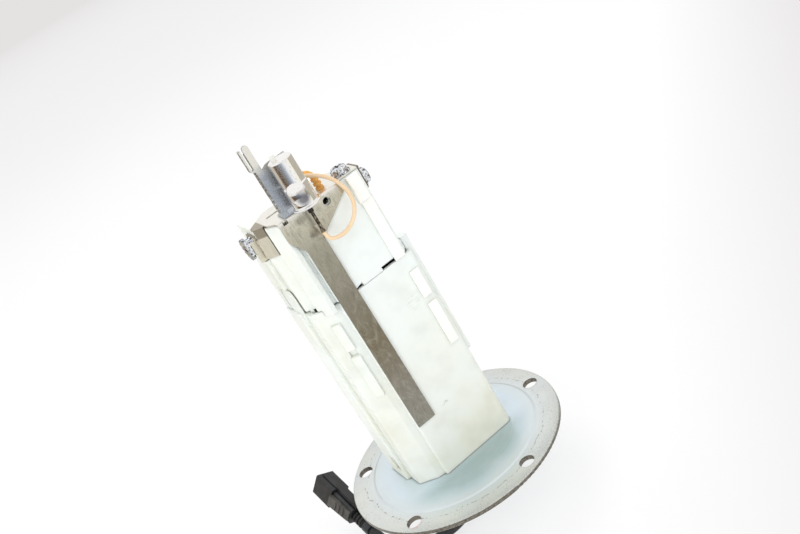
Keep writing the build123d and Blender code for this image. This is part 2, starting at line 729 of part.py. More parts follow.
# ----------------------------------------------------------- steel bracket
def front_sheet():
    """Front of the bracket: ear, neck and the long strap down the face."""
    strap_right = FACE_LEFT + STRAP_WIDTH
    points = [
        (FACE_LEFT, STRAP_BOTTOM),
        (strap_right, STRAP_BOTTOM),
        (strap_right, EAR_LOW),
        (EAR_RIGHT, EAR_SIDE_LOW),
        (EAR_RIGHT, TOP - 1.2),
        (EAR_FOLD_X, TOP + SHEET),
        (POST_FRONT_X, TOP + SHEET),
        (POST_FRONT_X, NECK_HIGH),
        (FACE_LEFT, NECK_LOW),
    ]
    sheet = standing(points, FRONT - SHEET, SHEET, [(8, 4.0), (2, 2.0), (7, 0.5)])
    hole = Pos(EAR_HOLE[0], FRONT + 1, EAR_HOLE[1]) * Rot(90, 0, 0)
    sheet -= hole * Cylinder(EAR_HOLE_RADIUS, SHEET + 2, align=UPRIGHT)
    return sheet + dimple()


def dimple():
    """Shallow round dome pressed out of the front sheet."""
    ball = (DIMPLE_RADIUS ** 2 + DIMPLE_HEIGHT ** 2) / (2 * DIMPLE_HEIGHT)
    centre = Pos(DIMPLE[0], FRONT - SHEET - DIMPLE_HEIGHT + ball, DIMPLE[1])
    slab = block(
        (DIMPLE[0] - ball, DIMPLE[0] + ball),
        (FRONT - SHEET - DIMPLE_HEIGHT, FRONT - SHEET / 2),
        (DIMPLE[1] - ball, DIMPLE[1] + ball),
    )
    return (centre * Sphere(ball)) & slab


def top_plate():
    """Flat top of the bracket, with its slot and the relief notch at the fold."""
    points = [
        (POST_FRONT_X, FRONT - SHEET),
        (EAR_FOLD_X, FRONT - SHEET),
        (EAR_RIGHT, PLATE_FRONT_RIGHT),
        (UPPER_RIGHT + SHEET, PLATE_FRONT_RIGHT),
        (UPPER_RIGHT + SHEET, RIGHT_TAB_Y[1]),
        (19.5, -4.3),
        (14.3, 3.6),
        (-10.0, 8.8),
        (-15.0, 8.6),
        (UPPER_LEFT - SHEET / 2, TAB_FACE_END[1] + 3.0),
        TAB_FACE_END,
        POST_INNER,
        (POST_BACK[0] + 1.2, POST_BACK[1] - 0.4),
        (POST_FRONT_X, FRONT + 2.0),
    ]
    rounds = [(5, 1.5), (6, 3.0), (7, 2.0), (8, 2.0), (9, 1.0)]
    plate = prism(outline(points, rounds), TOP, TOP + SHEET)
    slot = Pos(PLATE_SLOT[0], PLATE_SLOT[1], TOP) * SlotOverall(6.0, 1.6)
    plate -= extrude(slot, SHEET, both=True)
    plate -= disc(SCREW_RADIUS + PLAY, TOP - 1, TOP + 2, TOP_SCREW)
    plate -= disc(BOOT_RADIUS + SEAT_GAP, TOP - 1, TOP + 2, BOOT)
    return plate


def slant_tab():
    """Tab bent down the cap's slanted corner, joined to the left tab."""
    along = Vector(POST_INNER[0] - TAB_FACE_END[0], POST_INNER[1] - TAB_FACE_END[1], 0)
    frame = Plane(origin=(*TAB_FACE_END, 0), x_dir=along, z_dir=(along.Y, -along.X, 0))
    width = along.length - 0.3
    middle = (SLANT_TAB_BOTTOM + TOP + SHEET) / 2
    tab = frame * Pos(width / 2, middle, SHEET / 2) * Box(width, TOP + SHEET - SLANT_TAB_BOTTOM, SHEET)
    bridge = prism(
        outline([
            (UPPER_LEFT - SHEET, LEFT_TAB_Y[0]),
            (UPPER_LEFT, LEFT_TAB_Y[0]),
            TAB_FACE_END,
            (TAB_FACE_END[0] - 0.65 * SHEET, TAB_FACE_END[1] - 0.7 * SHEET),
            (UPPER_LEFT - SHEET, TAB_FACE_END[1] + 0.1),
        ]),
        SLANT_TAB_BOTTOM,
        LEFT_TAB_LIP_TOP,
    )
    slot_y, slot_z = LEFT_TAB_SLOT
    return tab + bridge - block((UPPER_LEFT - 2 * SHEET, UPPER_LEFT + SHEET), slot_y, slot_z)


def strap_bracket():
    """One stamped sheet: front strap, top plate and the tabs its screws hold."""
    bracket = front_sheet() + top_plate()
    fold = bracket.edges().filter_by(Axis.X).group_by(Axis.Z)[-1].group_by(Axis.Y)[0]
    bracket = fillet(fold, FOLD_ROUND) + slant_tab()
    left = [
        (LEFT_TAB_Y[0], LEFT_TAB_Z[0]),
        (LEFT_TAB_Y[1], LEFT_TAB_Z[0]),
        (LEFT_TAB_Y[1], LEFT_TAB_Z[1]),
        (LEFT_TAB_Y[0], LEFT_TAB_Z[1]),
    ]
    bracket += sideways(left, UPPER_LEFT - SHEET, SHEET, [(1, 3.0), (2, 3.0)])
    lip_x = (UPPER_LEFT - SHEET - LEFT_TAB_LIP, UPPER_LEFT - SHEET / 2)
    lip_z = (LEFT_TAB_Z[0], LEFT_TAB_LIP_TOP)
    bracket += block(lip_x, (LEFT_TAB_Y[0], LEFT_TAB_Y[0] + SHEET), lip_z)
    right = [
        (RIGHT_TAB_Y[0], RIGHT_TAB_BOTTOM),
        (RIGHT_TAB_Y[1], RIGHT_TAB_BOTTOM),
        (RIGHT_TAB_Y[1], TOP + SHEET),
        (RIGHT_TAB_Y[0], TOP + SHEET),
    ]
    bracket += sideways(right, UPPER_RIGHT, SHEET, [(0, 2.5), (1, 2.5)])
    for spot in screw_axes()[:2]:
        bracket -= spot * Pos(0, 0, -2 * SHEET) * Cylinder(SCREW_RADIUS + PLAY, 4 * SHEET, align=UPRIGHT)
    notch = Pos(NOTCH_X, FRONT - SHEET, TOP + SHEET / 2)
    return bracket - notch * Cylinder(NOTCH_RADIUS, 3 * SHEET)


def toothed_disc(radius, bottom, top, teeth):
    """Disc with square notches round its rim."""
    wheel = disc(radius, bottom, top)
    width = 0.45 * 2 * pi * radius / teeth
    for number in range(teeth):
        turn = Rot(0, 0, number * 360 / teeth)
        wheel -= turn * Pos(radius, 0, (bottom + top) / 2) * Box(1.5, width, 2 * (top - bottom))
    return wheel


def bracket_screws():
    """Two pan-head screws and, on the left, one with a collar and a toothed head."""
    screws = []
    for spot, length in zip(screw_axes(), screw_lengths()):
        top = WASHER_THICK
        screw = disc(SCREW_RADIUS, -length, top)
        if screws:
            head = disc(HEAD_RADIUS, top, top + HEAD_HEIGHT)
            screw += fillet(head.edges().group_by(Axis.Z)[-1], 1.2)
            top += HEAD_HEIGHT
        else:
            screw += disc(KNOB_COLLAR[0], top, top + KNOB_COLLAR[1])
            top += KNOB_COLLAR[1]
            screw += toothed_disc(KNOB_HEAD[0], top, top + KNOB_HEAD[1], KNOB_TEETH)
            top += KNOB_HEAD[1]
        for turn in (0, 90):
            screw -= Pos(0, 0, top) * Rot(0, 0, turn) * Box(4.0, 0.9, 2.4)
        screws.append(spot * screw)
    return Compound(screws)


def screw_washers():
    """Toothed lock washers under the three screw heads."""
    washers = []
    for spot in screw_axes():
        ring = toothed_disc(WASHER_RADIUS, 0, WASHER_THICK, WASHER_TEETH)
        ring -= disc(SCREW_RADIUS + SEAT_GAP, -1, WASHER_THICK + 1)
        washers.append(spot * ring)
    return Compound(washers)


# ------------------------------------------------------- low-fuel sensor
def can_axis():
    """Upright axis of the sensor's can, which touches the plate behind it."""
    return (CAN_X, SENSOR_BACK - CAN_RADIUS)


def sensor_bracket():
    """Galvanised upright plate with its arm, wire clip, side flange and foot."""
    foot = TOP + SHEET
    plate = standing([
        (SENSOR_LEFT, foot),
        (SENSOR_RIGHT, foot),
        (SENSOR_RIGHT, SENSOR_SHOULDER),
        (SENSOR_LEFT + SENSOR_ARM_WIDTH + 2.4, SENSOR_SHOULDER),
        (SENSOR_LEFT + SENSOR_ARM_WIDTH, SENSOR_SHOULDER - 1.2),
        (SENSOR_LEFT + SENSOR_ARM_WIDTH, SENSOR_TIP),
        (SENSOR_LEFT, SENSOR_TIP),
    ], SENSOR_BACK, SENSOR_SHEET, [(5, 1.2), (6, 1.2)])
    pit = Pos(SENSOR_PIT[0], SENSOR_BACK + SENSOR_SHEET / 2, SENSOR_PIT[1]) * Rot(90, 0, 0)
    plate -= pit * Cylinder(SENSOR_PIT_RADIUS, SENSOR_SHEET, align=UPRIGHT)
    slot_low = CAN_BOTTOM - 0.4
    slot_high = CAN_BOTTOM + LIP_THICK + 0.4
    half = LIP_RADIUS + 0.4
    plate -= block((CAN_X - half, CAN_X + half), (SENSOR_BACK - 1, SENSOR_BACK + 2), (slot_low, slot_high))
    depth = (SENSOR_BACK, SENSOR_BACK + SENSOR_SHEET + SENSOR_FLANGE_DEPTH)
    plate += block((SENSOR_LEFT, SENSOR_LEFT + SENSOR_SHEET), depth, (foot, SENSOR_SHOULDER - 1.0))
    deep = (SENSOR_BACK, SENSOR_BACK + SENSOR_FOOT_DEPTH)
    plate += block((SENSOR_LEFT, SENSOR_RIGHT), deep, (foot, foot + SENSOR_SHEET))
    return plate + wire_clip()


def wire_clip():
    """Strip folded back along the arm, open at its upper end."""
    inner = SENSOR_LEFT - 0.9
    middle = (SENSOR_LEFT + inner) / 2
    gap = (SENSOR_LEFT - inner) / 2
    y = SENSOR_BACK
    deep = SENSOR_SHEET + 1.6
    leg = block((inner - SENSOR_SHEET, inner), (y, y + deep), (CLIP_BOTTOM, CLIP_END))
    root = block((SENSOR_LEFT, SENSOR_LEFT + SENSOR_SHEET), (y, y + deep), (CLIP_BOTTOM, CLIP_END - 2.0))
    barrel = Pos(middle, y + deep, CLIP_BOTTOM) * Rot(90, 0, 0)
    fold = Cylinder(gap + SENSOR_SHEET, deep, align=UPRIGHT) - Cylinder(gap, 3 * deep)
    fold &= Pos(0, -10, 0) * Box(20, 20, 20)
    return leg + root + barrel * fold


def sensor_can():
    """Drawn chromed can with a rolled lip, a pressed dome and a vent tag."""
    at = can_axis()
    outer = turned([
        (0, CAN_BOTTOM),
        (LIP_RADIUS, CAN_BOTTOM),
        (LIP_RADIUS, CAN_BOTTOM + LIP_THICK),
        (CAN_RADIUS, CAN_BOTTOM + LIP_THICK + 0.4),
        (CAN_RADIUS, CAN_STEP),
        (CAN_TOP_RADIUS, CAN_STEP + 0.4),
        (CAN_TOP_RADIUS, CAN_TOP - 0.5),
        (CAN_TOP_RADIUS - 0.5, CAN_TOP),
        (0, CAN_TOP),
    ], at)
    ball = (BOSS_RADIUS ** 2 + BOSS_RISE ** 2) / (2 * BOSS_RISE)
    reach = CAN_RADIUS + BOSS_RISE - ball
    centre = around(at, reach, BOSS_ANGLE)
    face = around(at, CAN_RADIUS + BOSS_RISE / 2, BOSS_ANGLE)
    dome = Pos(centre[0], centre[1], BOSS_HEIGHT_Z) * Sphere(ball)
    spot = Location((face[0], face[1], BOSS_HEIGHT_Z), (90, 0, BOSS_ANGLE + 90))
    outer += dome & (spot * Cylinder(BOSS_RADIUS, 2 * BOSS_RISE + 1))
    outer -= disc(CAN_TOP_RADIUS - CAN_WALL, CAN_BOTTOM - 1, CAN_TOP - CAN_WALL, at)
    tag = Pos(at[0] - 1.6, at[1] + 1.2, CAN_TOP - CAN_WALL / 2) * Box(2.2, 0.4, 2.6, align=UPRIGHT)
    return outer + tag


def sensor_base():
    """Moulded plug that closes the can and carries the terminal."""
    at = can_axis()
    radius = CAN_TOP_RADIUS - CAN_WALL - SEAT_GAP
    plug = disc(radius, CAN_BOTTOM, CAN_BOTTOM + 3.0, at)
    plug += disc(SLEEVE_HEAD[0] + 0.3, CAN_BOTTOM - 0.7, CAN_BOTTOM, at)
    return plug - disc(SENSOR_WIRE / 4, CAN_BOTTOM - 2, CAN_BOTTOM + 4, at)


def thermistor():
    """Bead on its two short legs, above the plug."""
    at = can_axis()
    floor = CAN_BOTTOM + 3.0
    bead = Pos(at[0], at[1], floor + 9.5) * Sphere(1.9)
    for side in (-1, 1):
        bead += disc(0.3, floor, floor + 9.0, (at[0] + side * 0.9, at[1]))
    return bead


def sensor_sleeve():
    """Shrunk sleeve over the terminal and the start of the wire."""
    at = can_axis()
    head, head_length = SLEEVE_HEAD
    bead, bead_length = SLEEVE_BEAD
    return turned([
        (0, SLEEVE_BOTTOM),
        (bead, SLEEVE_BOTTOM),
        (bead, SLEEVE_BOTTOM + bead_length),
        (SLEEVE_RADIUS, SLEEVE_BOTTOM + bead_length + 0.2),
        (SLEEVE_RADIUS, SLEEVE_TOP - head_length),
        (head, SLEEVE_TOP - head_length + 0.5),
        (head, SLEEVE_TOP),
        (0, SLEEVE_TOP),
    ], at)


def sensor_wire():
    """Loop of insulated wire from the sleeve to the boot on the top plate."""
    at = can_axis()
    points = [
        (at[0], at[1], SLEEVE_BOTTOM),
        (at[0], at[1], SLEEVE_BOTTOM - 2.6),
        *[(x, y, TOP + rise) for x, y, rise in WIRE_LOOP],
        BOOT_END,
    ]
    return wire_along(points, SENSOR_WIRE, "sensor_wire")


def sensor_boot():
    """Ribbed silicone boot that leads the wire through the top plate."""
    floor = TOP + SHEET
    points = [(*BOOT, TOP), (*BOOT, TOP + 6.9), (BOOT[0] - 1.4, BOOT[1], TOP + 9.0), BOOT_END]
    boot = wire_along(points, 2 * BOOT_RADIUS, "sensor_boot")
    for height in (floor, floor + 2.0, floor + 4.0):
        boot += disc(BOOT_RING, height, height + 1.0, BOOT)
    return boot


# ---------------------------------------------------------- electric pump
def pump_stack():
    """Heights inside the pump: cover top, casing top, commutator faces."""
    cover = PUMP_BOTTOM + CRIMP + INLET_HEIGHT
    casing = cover + CASING_HEIGHT
    commutator = ARMATURE[1] + WINDING_OVERHANG
    return cover, casing, commutator, commutator + COMMUTATOR_THICK


def pump_case():
    """Steel tube crimped in over the covers at both ends."""
    shell = tube(CASE_RADIUS, CASE_RADIUS - CASE_WALL, PUMP_BOTTOM, CASE_TOP, PUMP)
    shell += tube(CASE_RADIUS, CRIMP_RADIUS, PUMP_BOTTOM, PUMP_BOTTOM + CRIMP, PUMP)
    return shell + tube(CASE_RADIUS, CRIMP_RADIUS, CASE_TOP - CRIMP, CASE_TOP, PUMP)


def inlet_cover():
    """Cast cover with the inlet nozzle and half of the side channel."""
    top = pump_stack()[0]
    bottom = PUMP_BOTTOM + CRIMP
    nozzle = (PUMP[0] + INLET_NOZZLE[0], PUMP[1] + INLET_NOZZLE[1])
    cover = disc(CASE_RADIUS - CASE_WALL, bottom, top, PUMP)
    cover += disc(INLET_NOZZLE_RADIUS, bottom - INLET_NOZZLE_LENGTH, bottom, nozzle)
    cover -= tube(IMPELLER_RADIUS - 0.4, IMPELLER_RADIUS - 3.4, top - 1.4, top + 1, PUMP)
    cover -= disc(INLET_NOZZLE_RADIUS - 1.4, bottom - INLET_NOZZLE_LENGTH - 1, top - 1.0, nozzle)
    return cover - disc(SHAFT_RADIUS + SLIDE_GAP, SHAFT_BOTTOM - 0.3, top + 1, PUMP)


def impeller_casing():
    """Cast casing over the impeller, with the lower bush in its middle."""
    bottom, top = pump_stack()[:2]
    roof = bottom + IMPELLER_THICK + 2 * IMPELLER_GAP
    casing = disc(CASE_RADIUS - CASE_WALL, bottom, top, PUMP)
    casing -= disc(IMPELLER_RADIUS + SLIDE_GAP, bottom - 1, roof, PUMP)
    casing -= tube(IMPELLER_RADIUS - 0.4, IMPELLER_RADIUS - 3.4, roof - 1, roof + 1.4, PUMP)
    casing -= disc(1.5, roof - 1, top + 1, around(PUMP, IMPELLER_RADIUS - 1.9, 150))
    casing -= disc(BUSH_RADIUS, bottom, top + 1, PUMP)
    return casing


def bush_heights():
    """Bottom of the lower and of the upper shaft bush."""
    casing = pump_stack()[1]
    return casing - BUSH_LENGTH + 1.6, SHAFT_TOP - BUSH_LENGTH - 1.0


def shaft_bushes():
    """Sintered bushes at both ends of the shaft."""
    rings = []
    for bottom in bush_heights():
        rings.append(tube(BUSH_RADIUS, SHAFT_RADIUS + RUN_GAP, bottom, bottom + BUSH_LENGTH, PUMP))
    return Compound(rings)


def impeller():
    """Side-channel impeller with vane pockets cut round both of its faces."""
    bottom = pump_stack()[0] + IMPELLER_GAP
    top = bottom + IMPELLER_THICK
    wheel = disc(IMPELLER_RADIUS, bottom, top, PUMP)
    wheel -= disc(SHAFT_RADIUS, bottom - 1, top + 1, PUMP)
    pocket = Box(2.4, 1.5, IMPELLER_THICK / 2 - 0.25)
    for number in range(VANES):
        angle = number * 360 / VANES
        for height in (bottom, top):
            spot = Pos(*PUMP, height) * Rot(0, 0, angle) * Pos(IMPELLER_RADIUS - 1.2, 0, 0)
            wheel -= spot * pocket
    return wheel


def rotor_shaft():
    """Ground steel shaft."""
    shaft = disc(SHAFT_RADIUS, SHAFT_BOTTOM, SHAFT_TOP, PUMP)
    return chamfer(shaft.edges().filter_by(GeomType.CIRCLE), 0.3)


def armature_core():
    """Laminated core with open slots for the windings."""
    low, high = ARMATURE
    core = disc(ARMATURE_RADIUS, low, high, PUMP)
    for number in range(ARMATURE_SLOTS):
        turn = Pos(*PUMP, (low + high) / 2) * Rot(0, 0, number * 360 / ARMATURE_SLOTS)
        core -= turn * Pos(7.6, 0, 0) * Box(5.2, 3.4, high - low + 2)
        core -= turn * Pos(11.0, 0, 0) * Box(3.0, 1.2, high - low + 2)
    return core - disc(SHAFT_RADIUS, low - 1, high + 1, PUMP)


def armature_windings():
    """Resin-set copper coils that fill the slots and stand past both ends."""
    low, high = ARMATURE
    coils = tube(ARMATURE_RADIUS - 1.3, SHAFT_RADIUS, low - WINDING_OVERHANG, high + WINDING_OVERHANG, PUMP)
    rims = coils.edges().filter_by(GeomType.CIRCLE)
    rims = rims.filter_by(lambda rim: rim.radius > ARMATURE_RADIUS - 1.4)
    return fillet(rims, 1.2) - armature_core()


def commutator():
    """Flat carbon commutator, split into segments by saw cuts."""
    bottom, top = pump_stack()[2:]
    plate = tube(COMMUTATOR_RADIUS, SHAFT_RADIUS, bottom, top, PUMP)
    for number in range(ARMATURE_SLOTS):
        turn = Pos(*PUMP, top) * Rot(0, 0, (number + 0.5) * 360 / ARMATURE_SLOTS)
        plate -= turn * Pos(COMMUTATOR_RADIUS / 2 + 1.4, 0, 0) * Box(COMMUTATOR_RADIUS, 0.5, 3.0)
    return plate


def magnets():
    """Two ferrite arcs on the case wall."""
    low = ARMATURE[0] - 1.5
    high = ARMATURE[1] + 1.5
    ring = tube(CASE_RADIUS - CASE_WALL - SEAT_GAP, MAGNET_INNER, low, high, PUMP)
    half = radians((180 - MAGNET_ANGLE) / 2)
    reach = CASE_RADIUS
    rise = reach * tan(half)
    gap = Polyline((0, 0), (reach, rise), (reach, -rise), close=True)
    wedge = Pos(*PUMP, low - 1) * extrude(make_face(gap), high - low + 2, dir=(0, 0, 1))
    other = Pos(*PUMP, 0) * Rot(0, 0, 180) * Pos(-PUMP[0], -PUMP[1], 0) * wedge
    return ring - wedge - other


def brush_centre(side):
    """Axis of one brush; side is -1 or 1."""
    return (PUMP[0] + side * BRUSH_OFFSET, PUMP[1])


def brush(side):
    """Carbon brush that presses down on the commutator."""
    bottom = pump_stack()[3] + BRUSH_GAP
    return Pos(*brush_centre(side), bottom) * Box(*BRUSH, align=UPRIGHT)


def brush_spring(side):
    """Spring between a brush and the roof of its guide."""
    bottom = pump_stack()[3] + BRUSH_GAP + BRUSH[2]
    return spring(1.4, 0.4, bottom, bottom + BRUSH_SPRING, 5, brush_centre(side))


def end_cover():
    """Moulded cover: brush guides, upper bush seat, valves and the outlet nipple."""
    inner = CASE_RADIUS - CASE_WALL
    cover = disc(inner, COVER_SKIRT, CASE_TOP - CRIMP, PUMP)
    cover += disc(CRIMP_RADIUS - SEAT_GAP, CASE_TOP - CRIMP, COVER_NECK, PUMP)
    cover += disc(NIPPLE_RADIUS, COVER_NECK, NIPPLE_TOP, PUMP)
    upper_bush = bush_heights()[1]
    cover -= disc(BUSH_RADIUS, COVER_SKIRT - 1, upper_bush + BUSH_LENGTH, PUMP)
    cover -= disc(SHAFT_RADIUS + SLIDE_GAP, COVER_SKIRT, SHAFT_TOP + 0.8, PUMP)
    roof = pump_stack()[3] + BRUSH_GAP + BRUSH[2] + BRUSH_SPRING
    for side in (-1, 1):
        guide = Box(BRUSH[0] + 0.2, BRUSH[1] + 0.2, roof - COVER_SKIRT + 1, align=UPRIGHT)
        cover -= Pos(*brush_centre(side), COVER_SKIRT - 1) * guide
        passage = (PUMP[0], PUMP[1] + side * 6.0)
        cover -= disc(1.3, COVER_SKIRT - 1, SHAFT_TOP + 2.6, passage)
    across = Pos(*PUMP, SHAFT_TOP + 1.6) * Rot(90, 0, 0) * Cylinder(1.0, 12.0)
    cover -= across
    cover -= disc(VALVE_SEAT_HOLE, SHAFT_TOP, VALVE_SEAT + 1, PUMP)
    cover -= disc(VALVE_BORE, VALVE_SEAT, NIPPLE_TOP + 1, PUMP)
    relief = (PUMP[0], PUMP[1] + RELIEF_OFFSET)
    cover -= disc(RELIEF_HOLE, COVER_SKIRT - 1, RELIEF_SEAT + 1, relief)
    cover -= disc(RELIEF_BORE, RELIEF_SEAT, COVER_NECK + 1, relief)
    return cover


def check_valve():
    """Plunger that closes the outlet when the pump stops."""
    bottom = VALVE_SEAT + 0.02
    radius = VALVE_BORE - SLIDE_GAP
    plunger = turned([
        (0, bottom - 0.8),
        (VALVE_SEAT_HOLE - SLIDE_GAP, bottom - 0.8),
        (VALVE_SEAT_HOLE - SLIDE_GAP, bottom),
        (radius, bottom),
        (radius, bottom + VALVE_LENGTH),
        (0, bottom + VALVE_LENGTH),
    ], PUMP)
    for angle in (0, 90):
        groove = Pos(*PUMP, bottom + VALVE_LENGTH / 2) * Rot(0, 0, angle + 45)
        for side in (-1, 1):
            plunger -= groove * Pos(side * (radius + 0.3), 0, 0) * Box(1.6, 1.8, VALVE_LENGTH + 1)
    return plunger


def check_valve_spring():
    """Light spring that seats the check valve."""
    return spring(1.9, 0.35, VALVE_SEAT + 0.02 + VALVE_LENGTH, CAGE_BOTTOM, 4, PUMP)


def valve_cage():
    """Pressed ring that holds the check valve's spring in the nipple."""
    ring = tube(VALVE_BORE - SEAT_GAP, 1.2, CAGE_BOTTOM, NIPPLE_TOP - 0.2, PUMP)
    for angle in (0, 60, 120):
        ring -= Pos(*PUMP, NIPPLE_TOP) * Rot(0, 0, angle) * Box(2 * VALVE_BORE - 1.4, 0.9, 6.0)
    return ring


def relief_axis():
    """Axis of the relief valve in the end cover."""
    return (PUMP[0], PUMP[1] + RELIEF_OFFSET)


def ball_centre():
    """Height of the relief ball's centre when it rests on its seat."""
    return RELIEF_SEAT + sqrt(RELIEF_BALL ** 2 - RELIEF_HOLE ** 2) + 0.02


def relief_ball():
    """Steel ball of the relief valve."""
    return Pos(*relief_axis(), ball_centre()) * Sphere(RELIEF_BALL)


def relief_spring():
    """Stiff spring above the relief ball."""
    return spring(1.35, 0.4, ball_centre() + RELIEF_BALL, RELIEF_PLUG[0], 4, relief_axis())


def relief_plug():
    """Drilled plug pressed in over the relief spring."""
    return tube(RELIEF_BORE - SEAT_GAP, 0.7, *RELIEF_PLUG, relief_axis())


def pump_terminals():
    """Two blades on the end cover for the inner leads."""
    blades = []
    for angle in TERMINAL_ANGLES:
        spot = Pos(*around(PUMP, TERMINAL_RADIUS, angle), COVER_NECK) * Rot(0, 0, angle)
        blades.append(spot * Box(0.8, 2.4, 2.6, align=UPRIGHT))
    return Compound(blades)


def pump_dampers():
    """Two rubber bands that cushion the pump in the housing."""
    bands = []
    outer = CASE_RADIUS + 1.4
    for bottom in (PUMP_BOTTOM + 6.0, CASE_TOP - 14.0):
        bands.append(tube(outer, CASE_RADIUS, bottom, bottom + 7.0, PUMP))
    return Compound(bands)


# ---------------------------------------------------------------- filter
def feed_arm(bottom, top, margin=0.0):
    """Plan of the canister's foot: the round body joined to the feed socket."""
    body = Pos(*PUMP) * Circle(CANISTER_RADIUS + margin)
    socket = Pos(*FEED) * Circle(FEED_SOCKET + margin)
    return prism(make_hull(body.edges() + socket.edges()).face(), bottom, top)


def filter_canister():
    """Pressure canister with sockets for the pump nipple and the feed tube."""
    low, floor = CANISTER_FLOOR
    foot = feed_arm(low, floor)
    body = foot + disc(CANISTER_RADIUS, low, CANISTER_TOP, PUMP)
    body += disc(NIPPLE_RADIUS + 3.2, COVER_NECK, low, PUMP)
    body += disc(FEED_SOCKET, COVER_NECK, low, FEED)
    body -= disc(CANISTER_RADIUS - CANISTER_WALL, floor, CANISTER_TOP + 1, PUMP)
    body -= disc(NIPPLE_RADIUS + SEAT_GAP, COVER_NECK - 1, floor + 1, PUMP)
    body -= disc(NIPPLE_RADIUS + 1.4, low - 1.0, low + 0.4, PUMP)
    body -= disc(FEED_RADIUS + SEAT_GAP, COVER_NECK - 1, low + 1.0, FEED)
    body -= disc(FEED_RADIUS + 1.0, COVER_NECK + 0.9, COVER_NECK + 1.9, FEED)
    height = low + 2.2
    run = hypot(PUMP[0] - FEED[0], PUMP[1] - FEED[1])
    angle = degrees(atan2(PUMP[1] - FEED[1], PUMP[0] - FEED[0]))
    port = run - CANISTER_RADIUS + CANISTER_WALL + 1.0
    start = Pos(*FEED, height) * Rot(0, 0, angle) * Rot(0, 90, 0)
    body -= start * Cylinder(CHANNEL_RADIUS - 0.6, port, align=UPRIGHT)
    body -= disc(CHANNEL_RADIUS - 0.6, low, height, FEED)
    well = around(FEED, port - 0.6, angle)
    return body - disc(1.0, height - 0.5, floor + 1, well)


def filter_lid():
    """Welded lid, with a boss that meets the cap's roof."""
    lid = disc(CANISTER_RADIUS, CANISTER_TOP, CANISTER_TOP + LID_THICK, PUMP)
    lid += tube(CANISTER_RADIUS - CANISTER_WALL - SEAT_GAP, CANISTER_RADIUS - CANISTER_WALL - 1.6,
                CANISTER_TOP - 1.5, CANISTER_TOP, PUMP)
    return lid + disc(5.0, CANISTER_TOP + LID_THICK, TOP - WALL, PUMP)


def filter_element():
    """Pleated paper between the two end caps."""
    points = []
    for number in range(PLEATS):
        angle = number * 360 / PLEATS
        points.append(around(PUMP, ELEMENT_OUTER, angle))
        points.append(around(PUMP, ELEMENT_INNER + 1.6, angle + 180 / PLEATS))
    bottom = CANISTER_FLOOR[1] + END_CAP
    top = CANISTER_TOP - 1.5 - END_CAP
    return prism(outline(points), bottom, top) - disc(ELEMENT_INNER, bottom - 1, top + 1, PUMP)


def filter_end_caps():
    """Lower cap with a bore for the nipple and a closed upper cap."""
    low = CANISTER_FLOOR[1]
    high = CANISTER_TOP - 1.5
    radius = ELEMENT_OUTER + 0.2
    lower = tube(radius, NIPPLE_RADIUS + SEAT_GAP, low, low + END_CAP, PUMP)
    upper = disc(radius, high - END_CAP, high, PUMP)
    return Compound([lower, upper])


def nipple_seal():
    """O-ring between the pump nipple and the canister."""
    low = CANISTER_FLOOR[0]
    return o_ring(NIPPLE_RADIUS, NIPPLE_RADIUS + 1.4, low - 0.3, PUMP)


def feed_tube():
    """Plastic tube that brings filtered fuel down to the manifold."""
    return tube(FEED_RADIUS, FEED_RADIUS - FEED_WALL, FEED_BOTTOM, CANISTER_FLOOR[0] + 0.8, FEED)


def feed_seals():
    """O-rings at both ends of the feed tube."""
    lower = o_ring(FEED_RADIUS, FEED_RADIUS + 1.0, FEED_BOTTOM + 2.0, FEED)
    upper = o_ring(FEED_RADIUS, FEED_RADIUS + 1.0, COVER_NECK + 1.4, FEED)
    return Compound([lower, upper])


# ------------------------------------------------- manifold and regulator
def channel(start, end, height):
    """Round passage between two upright bores."""
    run = hypot(end[0] - start[0], end[1] - start[1])
    angle = degrees(atan2(end[1] - start[1], end[0] - start[0]))
    passage = Cylinder(CHANNEL_RADIUS, run, align=UPRIGHT)
    return Pos(*start, height) * Rot(0, 0, angle) * Rot(0, 90, 0) * passage


